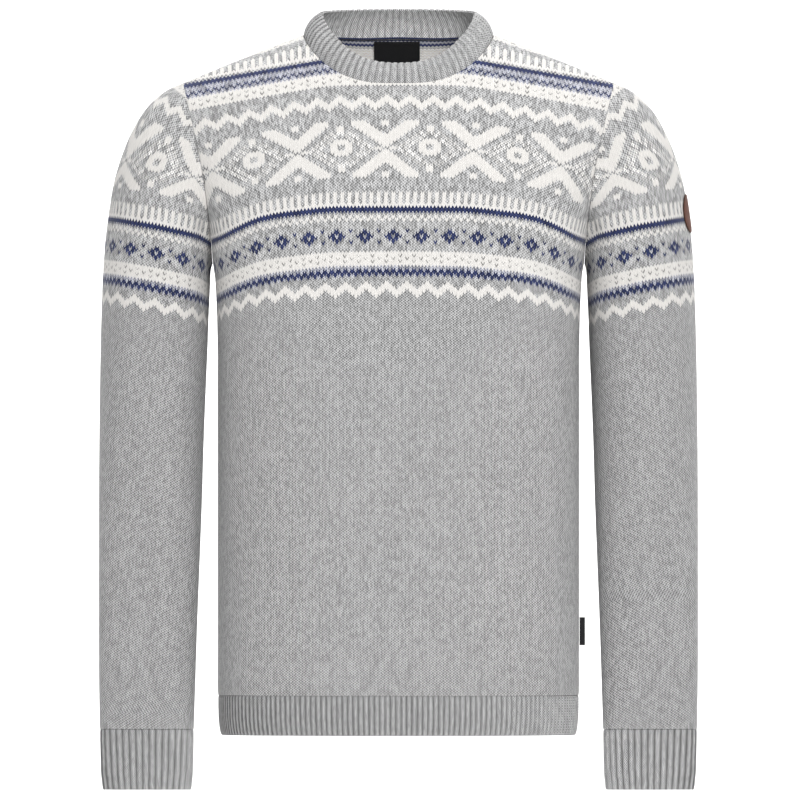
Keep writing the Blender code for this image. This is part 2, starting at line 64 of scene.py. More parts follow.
class Look:
    """A material with one shader, and short names for building its nodes."""

    def __init__(self, name, sockets):
        self.material = bpy.data.materials.new(name)
        self.material.use_nodes = True
        self.shader = self.material.node_tree.nodes["Principled BSDF"]
        self.give(self.shader, sockets)

    def give(self, node, sockets):
        """Values or links for a node's input sockets, by name or number."""
        for key, value in sockets.items():
            given = value.socket if isinstance(value, Value) else value
            if isinstance(given, bpy.types.NodeSocket):
                self.material.node_tree.links.new(given, node.inputs[key])
            else:
                node.inputs[key].default_value = given

    def node(self, kind, sockets=(), **settings):
        made = self.material.node_tree.nodes.new(kind)
        for name, value in settings.items():
            setattr(made, name, value)
        self.give(made, dict(sockets))
        return made

    def value(self, kind, sockets, **settings):
        return Value(self, self.node(kind, sockets, **settings).outputs[0])

    def scaled(self, colour, share):
        return self.node("ShaderNodeVectorMath", {0: colour, "Scale": share}, operation="SCALE").outputs[0]

    def split(self, vector):
        return [Value(self, part) for part in self.node("ShaderNodeSeparateXYZ", {0: vector}).outputs]

    def joined(self, x, y):
        return self.node("ShaderNodeCombineXYZ", {0: x, 1: y}).outputs[0]

    def mix(self, share, a, b):
        a, b = ((*colour, 1.0) if isinstance(colour, tuple) else colour for colour in (a, b))
        return self.node("ShaderNodeMix", {0: share, 6: a, 7: b}, data_type="RGBA").outputs[2]

    def ramp(self, place, stops):
        """A ramp of plain steps, from (position, colour) pairs."""
        made = self.node("ShaderNodeValToRGB", {0: place})
        made.color_ramp.interpolation = "CONSTANT"
        elements = made.color_ramp.elements
        elements[0].position, elements[0].color = stops[0][0], (*stops[0][1], 1.0)
        elements.remove(elements[1])
        for position, colour in stops[1:]:
            elements.new(position).color = (*colour, 1.0)
        return made.outputs[0]

    def finish(self, colour, height, strength, distance):
        """The finished material, from its colour and the height of its bumps."""
        bump = self.node("ShaderNodeBump", {"Strength": strength, "Distance": distance, "Height": height})
        self.give(self.shader, {"Base Color": colour, "Normal": bump.outputs[0]})
        return self.material


class Value:
    """A number in a material; sums and products with it become maths nodes."""

    def __init__(self, look, socket):
        self.look, self.socket = look, socket

    def math(self, operation, *others):
        node = self.look.node("ShaderNodeMath", dict(enumerate((self, *others))), operation=operation)
        return Value(self.look, node.outputs[0])

    def __add__(self, other):
        return self.math("ADD", other)

    def __sub__(self, other):
        return self.math("SUBTRACT", other)

    def __mul__(self, other):
        return self.math("MULTIPLY", other)

    def __truediv__(self, other):
        return self.math("DIVIDE", other)

    def between(self, low, high, first, last):
        """This value's place from low to high, carried over to the range from first to last."""
        node = self.look.node("ShaderNodeMapRange", dict(enumerate((self, low, high, first, last))))
        return Value(self.look, node.outputs[0])


def sweep_of_paper():
    """Floor that curves up into a backdrop."""
    depth, radius, top = 2.6, 1.0, 3.2
    line = [(-15.0, FLOOR_Z)]
    line += [(depth - radius + radius * math.sin(t), FLOOR_Z + radius - radius * math.cos(t))
             for t in np.linspace(0.0, math.pi / 2, 17)]
    line.append((depth, top))
    points = [(x, y, z) for y, z in line for x in (-7.0, 7.0)]
    faces = [(2 * k, 2 * k + 1, 2 * k + 3, 2 * k + 2) for k in range(len(line) - 1)]
    mesh = bpy.data.meshes.new("paper")
    mesh.from_pydata(points, [], faces)
    mesh.shade_smooth()
    paper = bpy.data.objects.new("paper", mesh)
    scene.collection.objects.link(paper)
    look = Look("paper", {"Base Color": (0.93, 0.93, 0.93, 1.0), "Roughness": 0.9,
                          "Emission Color": (1.0, 1.0, 1.0, 1.0), "Emission Strength": 0.25})
    # seen from behind the paper is clear, so that it never hides the back of the sweater
    behind = look.node("ShaderNodeNewGeometry").outputs["Backfacing"]
    clear = look.node("ShaderNodeBsdfTransparent").outputs[0]
    either = look.node("ShaderNodeMixShader", {0: behind, 1: look.shader.outputs[0], 2: clear})
    look.give(look.material.node_tree.nodes["Material Output"], {"Surface": either.outputs[0]})
    mesh.materials.append(look.material)


def lamp(name, place, target, size, power):
    data = bpy.data.lights.new(name, "AREA")
    data.shape = "RECTANGLE"
    data.size, data.size_y = size
    data.energy = power
    light = bpy.data.objects.new(name, data)
    light.location = place
    light.rotation_euler = (Vector(target) - Vector(place)).to_track_quat("-Z", "Y").to_euler()
    scene.collection.objects.link(light)


sweep_of_paper()
lamp("key", (1.25, -4.3, 1.75), (0.0, 0.0, -0.12), (1.2, 1.2), 139.0)
lamp("fill", (-1.6, -2.8, 0.4), (0.0, 0.0, -0.35), (1.4, 2.0), 12.0)
lamp("top", (0.1, -0.5, 2.2), (0.0, 0.0, -0.2), (2.0, 1.4), 24.0)
lamp("backdrop", (0.0, 0.6, 1.6), (0.0, 2.6, -0.4), (4.0, 1.0), 60.0)
world = bpy.data.worlds.new("studio")
scene.world = world
world.use_nodes = True
world.node_tree.nodes["Background"].inputs["Color"].default_value = (1.0, 1.0, 1.0, 1.0)
world.node_tree.nodes["Background"].inputs["Strength"].default_value = 0.42

# ---------------------------------------------------------------- knitted yarn
# Every knitted piece is stockinette in a melange grey wool blend. A stitch is a V of two legs, 3.5 mm wide. The
# yoke is charted by stitch and row: the chart counts columns from the middle of a cross and rows down from the
# navy stripe's top row, and each band is a short rule. The shader looks a stitch up, shapes its legs in bumps
# and paints shade and light on them.
GREY, WHITE, NAVY = (0.302, 0.302, 0.303), (0.62, 0.603, 0.580), (0.020, 0.027, 0.076)
LAVENDER, PALE = (0.285, 0.290, 0.325), (0.36, 0.352, 0.34)
REPEAT = 24
FIRST_ROW = -80
CHART_ROWS = 128


def cross_and_ring(column, row):
    """A cross at the middle of the repeat's ends and a ring between crosses."""
    across, ring, down = min(column + 0.5, 23.5 - column), abs(column - 11.5), abs(row - 10)
    arm = 0.95 * (down - 5.2) < across <= min(9.0, 1.03 * (down - 0.5))
    eyes = down == 0 and across in (1.5, 2.5)
    loop = 7 <= row <= 12 and ring < (2 if row in (7, 12) else 3) and (row not in (9, 10) or ring > 1)
    dots = (ring == 0.5 and row in (2, 3, 17, 18)) or (across == 0.5 and row in (0, 1, 19, 20))
    return bool(arm or eyes or loop or dots)


def diamonds(column, row):
    reach = abs((column - 2) % 8 - 4)
    width = (0, 1, 2, 1, 0)[row]
    return 4 - reach <= width and not (row == 2 and reach == 4) or (row in (0, 4) and reach == 0)


BANDS = {
    "solid": lambda column, row: True,
    "bare": lambda column, row: False,
    "fence": lambda column, row: column % 2 == 0,
    "check": lambda column, row: (column + row) % 2 == 0,
    "linked check": lambda column, row: row == 1 or (column + row // 2) % 2 == 0,
    "cross": cross_and_ring,
    "diamonds": diamonds,
    "sleeve diamonds": lambda column, row: diamonds(column + 3, row),
    "lice": lambda column, row: (row in (1, 3) and column % 4 == 0) or (row == 2 and column % 4 == 2),
    "zigzag": lambda column, row: 0 <= row - (0, 1, 2, 3, 2, 1)[column % 6] < 3,
}

# rows from the top: how many, rule, figure colour, ground colour
YOKE = ((2, "solid", NAVY, NAVY), (2, "bare", LAVENDER, LAVENDER), (2, "check", NAVY, LAVENDER),
        (1, "bare", LAVENDER, LAVENDER), (5, "lice", PALE, WHITE), (4, "bare", GREY, GREY),
        (6, "zigzag", WHITE, GREY), (4, "bare", GREY, GREY), (21, "cross", WHITE, GREY), (5, "bare", GREY, GREY),
        (4, "fence", WHITE, GREY), (1, "solid", WHITE, WHITE), (2, "solid", NAVY, NAVY), (1, "bare", GREY, GREY),
        (2, "check", WHITE, GREY), (3, "bare", GREY, GREY), (5, "diamonds", NAVY, GREY), (3, "bare", GREY, GREY),
        (5, "lice", PALE, WHITE), (1, "bare", LAVENDER, LAVENDER), (3, "linked check", NAVY, LAVENDER),
        (2, "bare", GREY, GREY), (6, "zigzag", WHITE, GREY))
FRONT_CHART = (-57, YOKE)
SLEEVE_CHART = (-57, tuple((count, "sleeve " + rule if rule == "diamonds" else rule, figure, ground)
                           for count, rule, figure, ground in YOKE))
BACK_CHART = (-67, ((1, "solid", WHITE, WHITE), (4, "fence", WHITE, GREY), (3, "bare", GREY, GREY),
                    (5, "lice", PALE, WHITE), (1, "solid", NAVY, NAVY), (1, "bare", LAVENDER, LAVENDER),
                    (1, "solid", NAVY, NAVY), (1, "bare", GREY, GREY)) + YOKE[4:])


def charted(chart):
    """For each chart row: its 24 stitches as three numbers of 8 bits, its figure colour and its ground colour."""
    rows = [((0, 0, 0), GREY, GREY) for _ in range(CHART_ROWS)]
    at, bands = chart
    for count, rule, figure, ground in bands:
        for row in range(count):
            stitches = [BANDS[rule](column, row) for column in range(REPEAT)]
            packed = tuple(sum(1 << k for k in range(8) if stitches[8 * part + k]) for part in range(3))
            rows[at - FIRST_ROW] = (packed, figure, ground)
            at += 1
    return rows


def row_colours(look, place, colours):
    changes = [k for k in range(1, len(colours)) if colours[k] != colours[k - 1]]
    return look.ramp(place, [(0.0, colours[0])] + [(k / len(colours), colours[k]) for k in changes])


def framed(inner, row):
    """1 on the two dotted frames round a ring, whose middle is 21 rows above the navy stripe."""
    away = (row + 21.0).math("ABSOLUTE")
    total = (inner.math("FLOOR") - 11.5).math("ABSOLUTE") + away
    return (total.math("COMPARE", 6.5, 0.1) + total.math("COMPARE", 8.5, 0.1)) * away.math("LESS_THAN", 6.5)


def looked_up(look, column, row, chart):
    """Colour of a stitch from its column and row number."""
    rows = charted(chart)
    index = row - float(FIRST_ROW)
    inside = index.math("GREATER_THAN", -0.5) * index.math("LESS_THAN", CHART_ROWS - 0.5)
    # a ramp holds 32 rows, so the chart takes several blocks; a ramp's colour is the row's three numbers
    block = ((index + 0.5) / 32.0).math("FLOOR")
    place = (index - block * 32.0 + 0.6) / 32.0
    total = None
    for part in range(CHART_ROWS // 32):
        stops = [(k / 32.0, tuple(v / 255.0 for v in rows[32 * part + k][0])) for k in range(32)]
        chosen = look.scaled(look.ramp(place, stops), block.math("COMPARE", float(part), 0.1))
        total = chosen if total is None else look.node("ShaderNodeVectorMath", {0: total, 1: chosen}).outputs[0]
    parts = look.split(total)
    inner = (column + 0.5).math("FLOORED_MODULO", float(REPEAT))
    byte = (inner / 8.0).math("FLOOR")
    first, second, third = (byte.math("COMPARE", float(part), 0.1) * parts[part] for part in range(3))
    bits = ((first + second + third) * 255.0 + 0.5).math("FLOOR")
    bit = inner.math("FLOORED_MODULO", 8.0).math("FLOOR")
    shifted = ((bits + 0.01) / Value(look, 2.0).math("POWER", bit)).math("FLOOR")
    figure = shifted.math("FLOORED_MODULO", 2.0) * inside
    where = (index + 0.75) / float(CHART_ROWS)
    figures, grounds = (row_colours(look, where, [entry[k] for entry in rows]) for k in (1, 2))
    ground = look.mix(framed(inner, row) * 0.55, look.mix(inside, GREY, grounds), WHITE)
    return look.mix(figure, ground, figures)


def stitch_place(look):
    """The stitch map as a vector and as stitches across and rows down."""
    uv = look.node("ShaderNodeUVMap", uv_map="knit").outputs[0]
    return (uv, *look.split(uv)[:2])


def knitted(name, chart=None, tone=1.0, groove_shade=0.0):
    """Stockinette from the UV map, in stitches and rows."""
    look = Look(name, {"Roughness": 0.92, "Specular IOR Level": 0.12, "Sheen Weight": 0.12, "Sheen Roughness": 0.55})
    uv, u, v = stitch_place(look)
    column = u.math("FLOOR")
    side = ((u - column) * 2.0 - 1.0).math("ABSOLUTE")
    rise = v - (side * -1.0 + 1.0) * 1.05
    row = rise.math("FLOOR")
    # legs: round across, slightly pinched where rows meet
    leg = (side * math.pi).math("SINE").math("POWER", 0.7)
    pinch = ((rise - row) * math.pi).math("SINE").math("POWER", 0.8)
    height = (leg * 0.35 + 0.65) * (pinch * 0.5 + 0.5)
    leg_number = look.joined((u * 2.0).math("FLOOR"), row)
    per_stitch = look.value("ShaderNodeTexWhiteNoise", {"Vector": leg_number}, noise_dimensions="3D")
    stretched = look.joined(u * 3.4, rise * 3.4)
    fibre = look.value("ShaderNodeTexNoise", {"Vector": stretched, "Scale": 1.0, "Detail": 3.0}, noise_dimensions="2D")
    broad = look.value("ShaderNodeTexNoise", {"Vector": uv, "Scale": 0.09}, noise_dimensions="2D")
    if chart:
        colour = looked_up(look, column, row, chart)
        green = Value(look, look.node("ShaderNodeSeparateColor", {0: colour}).outputs[1])
        # 1 on the yarns that are melange, which are less even than the white
        melange = green.math("LESS_THAN", 0.5)
        colour = look.scaled(colour, melange * v.between(20.0, 30.0, 0.11, 0.0) + tone)
        mottled = (melange * 0.88 + 0.12) * v.between(24.0, 34.0, 0.9, 0.55)
        relief_shade = melange * 0.35 + 0.45
        depth = melange * v.between(24.0, 34.0, 0.54, 0.74) + 0.13
    else:
        colour, mottled, relief_shade, depth = tuple(tone * c for c in GREY), 0.55, 0.80, 0.81
    speck = (fibre - 0.5) * 0.5 + (per_stitch - 0.5)
    # random speckle and broad tone, and painted shade and light by the height of the legs
    light = (speck * mottled + 1.0) * ((broad - 0.5) * 0.04 + 1.0) * ((height - 0.70) * relief_shade + 1.0)
    # painted shade between the legs at a stitch's top and between stitches at its foot, and painted light on the legs;
    # depth sets how strong it is
    turn = 2.0 * math.pi
    gap_shade_and_light = (u * turn).math("COSINE") * ((v * turn).math("SINE") - 0.12)
    light = light * (gap_shade_and_light * depth + 1.0)
    # painted shade down each rib's groove column and painted light on the ribs beside it
    if groove_shade:
        aside = (u - 2.0).math("WRAP", 1.5, -1.5).math("ABSOLUTE")
        groove = (aside / -0.9 + 1.0).math("MAXIMUM", 0.0)
        light = light * (groove * -groove_shade + (1.0 + 0.25 * groove_shade))
    return look.finish(look.scaled(colour, light), fibre * 0.25 + height, strength=0.55, distance=0.0007)


def reverse_side(name, chart=None, tone=1.0):
    """The purl side: rows of small bumps, with the yarns that are carried across between stitches."""
    look = Look(name, {"Roughness": 0.95, "Sheen Weight": 0.2})
    uv, u, v = stitch_place(look)
    rise = v + (u * (2.0 * math.pi)).math("SINE") * 0.22
    row = rise.math("FLOOR")
    height = ((rise - row) * math.pi).math("SINE")
    if chart:
        mixed = [tuple(tone * (0.45 * f + 0.55 * g) for f, g in zip(figure, ground))
                 for _, figure, ground in charted(chart)]
        colour = row_colours(look, (row - float(FIRST_ROW) + 0.75) / float(CHART_ROWS), mixed)
    else:
        colour = tuple(tone * c for c in GREY)
    speckle = look.value("ShaderNodeTexNoise", {"Vector": uv, "Scale": 1.9}, noise_dimensions="2D")
    # random speckle, and painted shade between the rows of bumps
    light = ((speckle - 0.5) * 0.5 + 1.0) * (height * 0.25 + 0.78)
    return look.finish(look.scaled(colour, light), height, strength=0.5, distance=0.0006)


front_knit = knitted("front_knit", FRONT_CHART)
back_knit = knitted("back_knit", BACK_CHART)
sleeve_knit = knitted("sleeve_knit", SLEEVE_CHART, tone=0.94)
rib_knit = knitted("rib_knit", tone=0.98, groove_shade=0.75)
collar_knit = knitted("collar_knit", tone=1.04, groove_shade=0.5)
# painted light: the neckband's inside, which lies in shade, is coloured 1.72 times lighter than its outside
collar_inside_painted_light = knitted("collar_inside_painted_light", tone=1.72, groove_shade=0.4)
front_inside = reverse_side("front_inside", FRONT_CHART)
# painted light: the inside of the back, in the neckband's shade, is coloured 2.25 times lighter
back_inside_painted_light = reverse_side("back_inside_painted_light", BACK_CHART, tone=2.25)
rib_inside = reverse_side("rib_inside")

# ---------------------------------------------------------------- front
# The front hangs from the neckband and the forward shoulder seams, is sewn to the sleeves round the armholes and to
# the back down the sides. Its wall is the solid's, on a finer grid, and rolls in a little at each seam.
MM = 0.001
WALL = 2.2                 # knitted cloth
GAP = 0.3                  # between neighbouring pieces

UNDERARM_Z = -223.0        # bottom of the armholes
LEVEL_Z = -385.0           # rows are level up to here
WELT_TOP_Z = -646.0        # panels end, welt begins
FRONT_DEPTH = 121.0        # body section, centre to front
BACK_DEPTH = 112.0         # body section, centre to back
HALF_WIDTH = 177.0         # body section below the chest
FRONT_POWER = 1.95         # roundness of the front going up to the shoulder
LOWER_SCALE = 240.0        # height per turn below the underarm

RIDGE_Z = 1.0              # top of the shoulder beside the neck
RIDGE_X = 93.6
RIDGE_SLOPE = 0.4344
RIDGE_ROUND = 60.0
TIP_X = 211.0              # outer end of the shoulder, top of the armhole
SEAM_X = 76.0              # forward shoulder seam meets the neckband here
TIP_Z = RIDGE_Z - RIDGE_SLOPE * (math.hypot(TIP_X, RIDGE_ROUND) - math.hypot(RIDGE_X, RIDGE_ROUND))

NECK_FRONT = 83.0          # neck seam in plan
NECK_BACK = 68.0
NECK_FRONT_POWER = 2.5
NECK_BACK_POWER = 2.2

CHEST_TURN = 0.06          # where the chest row starts at the centre
SCOOP_SHARE = 0.22         # share of the armhole that is its bottom curve
YOKE_SHARE = 0.87          # share of it where the back starts over the shoulder
BACK_ALONG = (0.0, 0.25, 0.47, 0.67, 0.84, 0.986, 1.0)     # the back's rows, closer towards the shoulder

# the body by height: half width and squareness of its section, and how far out the armhole edge sits
BODY = {
    "z": (-686.0, -680.0, -672.0, -640.0, -500.0, -400.0, -310.0, -268.0, -249.0, -229.0, -223.0, -208.0,
          -178.0, -145.0, -120.0, -81.0, -46.5, 60.0),
    "half_width": (173.5, 175.0, 176.3, 177.0, 177.0, 177.0, 177.0, 177.9, 178.9, 180.2, 182.0, 183.5,
                   189.3, 204.4, 217.4, 235.8, 245.0, 245.0),
    "power": (2.5, 2.5, 2.5, 2.5, 2.54, 2.65, 2.9, 3.05, 3.13, 3.22, 3.25, 3.2, 3.0, 2.75, 2.62, 2.55,
              2.55, 2.55),
    "armhole_x": (182.0,) * 11 + (183.0, 186.0, 190.0, 194.5, 203.0, 211.0, 211.0),
}

# roundness of the back going up to the shoulder, by distance from the middle
BACK_X, BACK_POWER = (0.0, 60.0, 110.0, 160.0, 211.0), (2.8, 2.75, 2.45, 2.15, 2.0)


def eased(share):
    """0 to 1 with a soft start and end."""
    share = np.clip(share, 0.0, 1.0)
    return share * share * (3.0 - 2.0 * share)


def unit(angle, power):
    """Point of a unit superellipse seen at this angle from its middle."""
    across, up = np.cos(angle), np.sin(angle)
    size = (np.abs(across) ** power + np.abs(up) ** power) ** (-1.0 / power)
    return across * size, up * size


def other(share, power):
    """The second coordinate of a unit superellipse from the first."""
    return (1.0 - np.clip(np.abs(share), 0.0, 1.0) ** power) ** (1.0 / power)


def lengths(points):
    """How far along a line each of its points is."""
    return np.concatenate([[0.0], np.cumsum(np.linalg.norm(np.diff(points, axis=0), axis=-1))])


def respaced(points, fractions, line=None):
    """Points at these shares of the length of their line, or of the line of places that they stand for."""
    length = lengths(points if line is None else line)
    place = np.interp(np.asarray(fractions) * length[-1], length, np.arange(len(points)))
    return np.stack([np.interp(place, np.arange(len(points)), column) for column in points.T], -1)


def body_row(name, z):
    return np.interp(z, BODY["z"], BODY[name])


def ridge(x):
    return RIDGE_Z - RIDGE_SLOPE * (np.hypot(x, RIDGE_ROUND) - math.hypot(RIDGE_X, RIDGE_ROUND))


def back_power(x):
    return np.interp(np.abs(x), BACK_X, BACK_POWER)


def torso(angles, side):
    """Points at (theta, beta) pairs; theta runs from the side to the middle, beta from the underarm to the ridge,
    past it to the front, or down."""
    theta, beta = angles[..., 0], angles[..., 1]
    over = beta > math.pi / 2
    lift = np.where(over, math.pi - beta, np.maximum(beta, 0.0))
    front = over | (side == "front")
    x = np.cos(theta) * 200.0
    z = UNDERARM_Z + np.where(beta < 0.0, beta, np.sin(lift)) * LOWER_SCALE
    for _ in range(60):      # height and width depend on each other, and settle
        depth_share, rise = unit(lift, np.where(front, FRONT_POWER, back_power(x)))
        above = UNDERARM_Z + rise * (ridge(x) - UNDERARM_Z)
        z = 0.5 * z + 0.5 * np.where(beta < 0.0, UNDERARM_Z + LOWER_SCALE * beta, above)
        share, forward = unit(theta, body_row("power", z))
        x = share * body_row("half_width", z)
    y = np.where(front, -FRONT_DEPTH, BACK_DEPTH) * np.abs(depth_share) * forward
    return np.stack([x, y, z], axis=-1)


def angles_at(x, z, side):
    """theta and beta of the surface point seen at x, z."""
    power = FRONT_POWER if side == "front" else back_power(x)
    share = x / body_row("half_width", z)
    rise = np.clip((z - UNDERARM_Z) / (ridge(x) - UNDERARM_Z), 0.0, 1.0)
    forward = other(share, body_row("power", z))
    return np.stack([np.arctan2(forward, share), np.arctan2(rise, other(rise, power))], -1)


def angles_over(x, y):
    """theta and beta of the surface point at x, y near the neck; beta passes the ridge where y is forward."""
    forward = other(x / body_row("half_width", 0.0), body_row("power", 0.0))
    front = y < 0.0
    depth = np.where(front, FRONT_DEPTH, BACK_DEPTH)
    power = np.where(front, FRONT_POWER, back_power(x))
    depth_share = np.clip(np.abs(y) / (depth * forward), 0.0, 1.0)
    beta = np.arctan2((1.0 - depth_share ** power) ** (1.0 / power), depth_share)
    theta = np.arctan2(forward, x / body_row("half_width", 0.0))
    return np.stack([theta, np.where(front, math.pi - beta, beta)], -1)


def neck_plan(turn):
    """Neck seam in plan; turn is 0 at centre front, pi at centre back."""
    front = turn < math.pi / 2
    power = np.where(front, NECK_FRONT_POWER, NECK_BACK_POWER)
    out, side = unit(np.where(front, turn, math.pi - turn), power)
    return RIDGE_X * side, np.where(front, -NECK_FRONT, NECK_BACK) * out


def seam_angles(share):
    """The forward shoulder seam, from the neckband to the tip."""
    start = angles_over(*neck_plan(np.array((CORNER_TURN,))))
    corner = torso(start, "back")[0]
    x = corner[0] + share * (TIP_X - corner[0])
    z = corner[2] + share * (TIP_Z - corner[2])
    return angles_at(x, z, "front")


def armhole_angles(share, side):
    z = UNDERARM_Z + share * (TIP_Z - UNDERARM_Z)
    found = angles_at(body_row("armhole_x", z), z, side)
    found[..., 1] = np.where(share >= 1.0, math.pi / 2, found[..., 1])
    return found


def fitted(angles, side, fractions):
    """Angles respaced to these shares of the true length of their curve."""
    return respaced(angles, fractions, torso(angles, side))


CORNER_TURN = float(np.interp(SEAM_X, neck_plan(np.linspace(0.0, 1.5, 400))[0], np.linspace(0.0, 1.5, 400)))
FINE = np.linspace(0.0, 1.0, 600)
SEAM_ROLL = (0.28, 0.16, 0.04)     # how far the cloth sinks at a seam and beside it
SCENE_GAP = 0.02                   # between the finer walls at a seam


def to_seam(count, roll=0.008):
    """Equal shares with three narrow last ones, for the cloth that rolls into a seam."""
    return np.concatenate([np.linspace(0.0, 1.0 - 4.5 * roll, count - 2), 1.0 - roll * np.array((2.4, 1.0, 0.0))])


def neck_angles(side, start, end):
    found = angles_over(*neck_plan(start + (end - start) * FINE))
    if side == "front":
        found[:, 1] = math.pi - found[:, 1]
    return found


def coons(bottom, top, left, right, across, along):
    """Grid of angles between four edges."""
    f = across[None, :, None]
    v = along[:, None, None]
    corners = (1 - v) * ((1 - f) * bottom[0] + f * bottom[-1]) + v * ((1 - f) * top[0] + f * top[-1])
    return (1 - v) * bottom[None] + v * top[None] + (1 - f) * left[:, None] + f * right[:, None] - corners


NECK = {"front": 20, "back": 24}    # half a panel's columns that end on the neckline,
SHOULDER = 30                       # on the shoulder seam,
SCOOP = 10                          # and on the curve at the bottom of the armhole
LEVELS = 24                         # level rows from the welt up
TURNS = 16                          # rows that bend to meet the armhole
CHEST = 44                          # rows beside the armhole; the back's last ones pass
YOKE_STEPS = 14                     # over the shoulder to the front
BACK_CHEST = CHEST - YOKE_STEPS


def armhole_shares(side):
    scoop = np.linspace(0.0, SCOOP_SHARE, SCOOP + 1)
    if side == "front":
        beside = SCOOP_SHARE + (1.0 - SCOOP_SHARE) * to_seam(CHEST)
    else:
        low = np.interp(np.linspace(0.0, 6.0, BACK_CHEST + 1), np.arange(7.0), BACK_ALONG)
        beside = SCOOP_SHARE + (YOKE_SHARE - SCOOP_SHARE) * low
        over = YOKE_SHARE + (1.0 - YOKE_SHARE) * to_seam(YOKE_STEPS, 0.02)
        beside = np.concatenate([beside, over[1:]])
    return np.concatenate([scoop, beside[1:]])


def armhole_edge(side):
    """Seam from the underarm up to the tip."""
    return fitted(armhole_angles(FINE, side), side, armhole_shares(side))


def panel_half(side):
    """Angles of a half panel from centre to edge, hem to top; unused corners are nan."""
    neck = NECK[side]
    inner = neck + SHOULDER
    edge = armhole_edge(side)
    beside = edge[SCOOP:]
    across = to_seam(inner, 0.006)
    chest = np.array((math.pi / 2, CHEST_TURN)) * (1.0 - FINE[:, None]) + beside[0] * FINE[:, None]
    chest = fitted(chest, side, across)
    turned = np.concatenate([chest, edge[:SCOOP][::-1]])
    section = np.stack([np.linspace(math.pi / 2, 0.0, 600), np.full(600, -1.0)], -1)
    level = fitted(section, side, to_seam(inner + SCOOP, 0.004))
    rows = []
    heights = WELT_TOP_Z + 1.5 * GAP + (LEVEL_Z - WELT_TOP_Z) * (1.0 - to_seam(LEVELS, 0.006)[::-1])
    for z in heights:
        rows.append(np.stack([level[:, 0], np.full(len(level), (z - UNDERARM_Z) / LOWER_SCALE)], -1))
    for share in np.linspace(0.0, 1.0, TURNS + 1)[1:]:
        rows.append((1.0 - share) * rows[LEVELS] + share * turned)
    seam = seam_angles(FINE)
    if side == "back":
        seam[:, 1] = math.pi - seam[:, 1]
    share = to_seam(SHOULDER, 0.012)
    seam = fitted(seam, side, share)
    start, end = (0.0, CORNER_TURN) if side == "front" else (math.pi, math.pi / 2)
    neckline = fitted(neck_angles(side, start, end), side, np.linspace(0.0, 1.0, neck + 1))
    if side == "front":
        count = CHEST
        top = np.concatenate([neckline[:-1], seam])
        along = to_seam(count)
    else:
        count = BACK_CHEST
        over = (1 - share[:, None]) * neckline[-1] + share[:, None] * beside[count]
        top = np.concatenate([neckline[:-1], over])
        along = np.interp(np.linspace(0.0, 6.0, count + 1), np.arange(7.0), BACK_ALONG)
    middle = np.stack([np.full(600, math.pi / 2), CHEST_TURN + (top[0, 1] - CHEST_TURN) * FINE], -1)
    middle = fitted(middle, side, along)
    upper = coons(chest, top, middle, beside[: count + 1], across, along)[1:]
    if side == "back":
        steps = to_seam(YOKE_STEPS, 0.02)
        left = fitted(neck_angles(side, math.pi / 2, CORNER_TURN), side, steps)
        yoke = coons(over, seam, left, beside[count:], share, steps)
        notch = np.full((YOKE_STEPS, neck, 2), np.nan)
        upper = np.concatenate([upper, np.concatenate([notch, yoke[1:]], axis=1)])
    scoop = np.full((len(upper), SCOOP, 2), np.nan)
    return np.concatenate([np.stack(rows), np.concatenate([upper, scoop], axis=1)])


def normals_of(grid, closed=False):
    """Unit normals of a grid of points from the steps to its neighbours; at an edge or beside an unused corner a
    point takes what steps it has."""
    def steps(axis, wrapped):
        ahead = np.roll(grid, -1, axis) - grid
        behind = grid - np.roll(grid, 1, axis)
        if not wrapped:
            np.moveaxis(ahead, axis, 0)[-1] = 0.0
            np.moveaxis(behind, axis, 0)[0] = 0.0
        return np.nan_to_num(ahead) + np.nan_to_num(behind)
    out = np.cross(steps(1, closed), steps(0, False))
    return out / np.maximum(np.linalg.norm(out, axis=-1, keepdims=True), 1e-9)


# where rows lie on the front: height of each row on the centre line, and how far it has dropped by distance out
ROW_AT = (-150.0, -57.0, -52.5, -50.0, -45.0, -38.5, -31.0, -21.0, -10.0, 1.0, 23.0, 25.0, 27.0, 33.0, 250.0)
ROW_Z = (216.0, -21.0, -31.0, -36.0, -47.5, -63.0, -81.7, -107.4, -137.2, -169.2, -229.3, -234.6, -238.7, -254.9,
         -810.7)
DROP_X = (0.0, 60.0, 76.0, 94.0, 118.0, 136.0, 148.0, 160.0, 171.0, 181.0, 211.0)
DROPS = {
    -57.0: (0.0, 0.0, 1.5, 4.6, 8.8, 11.9, 14.0, 16.1, 18.0, 19.7, 25.0),
    -21.0: (0.0, 1.6, 3.2, 5.6, 9.3, 12.5, 14.7, 17.0, 19.3, 21.5, 28.0),
    1.0: (0.0, 0.0, 1.0, 3.0, 5.9, 9.8, 14.7, 20.6, 26.5, 31.0, 40.0),
    23.0: (0.0, 1.0, 2.0, 4.0, 6.7, 10.0, 13.8, 18.5, 24.2, 30.0, 38.0),
    30.0: (0.0, 1.0, 2.0, 3.7, 5.6, 8.7, 12.0, 16.6, 21.9, 27.4, 34.4),
    60.0: (0.0, 0.8, 1.5, 2.6, 4.0, 6.0, 8.0, 10.5, 13.5, 17.0, 22.0),
    250.0: (0.0,) * 11,
}
# how wide a stitch is by height, and which column the middle of the front is
STITCH_Z = (-320.0, -246.0, -230.0, -196.0, -161.0, -112.0, -65.0, 10.0)
STITCH_WIDE = (3.38, 3.32, 3.34, 3.45, 3.55, 3.59, 3.80, 3.90)
CROSS_AT = -3.5
SEEN_Z, ROUND_Z = -109.0, -196.0    # columns are counted as seen above the first, round the body below the second


def half_stitch(rows):
    """The crosses are an even number of stitches wide, and the diamonds below them odd."""
    return 0.5 * np.clip((rows + 11.0) / 9.0, 0.0, 1.0)


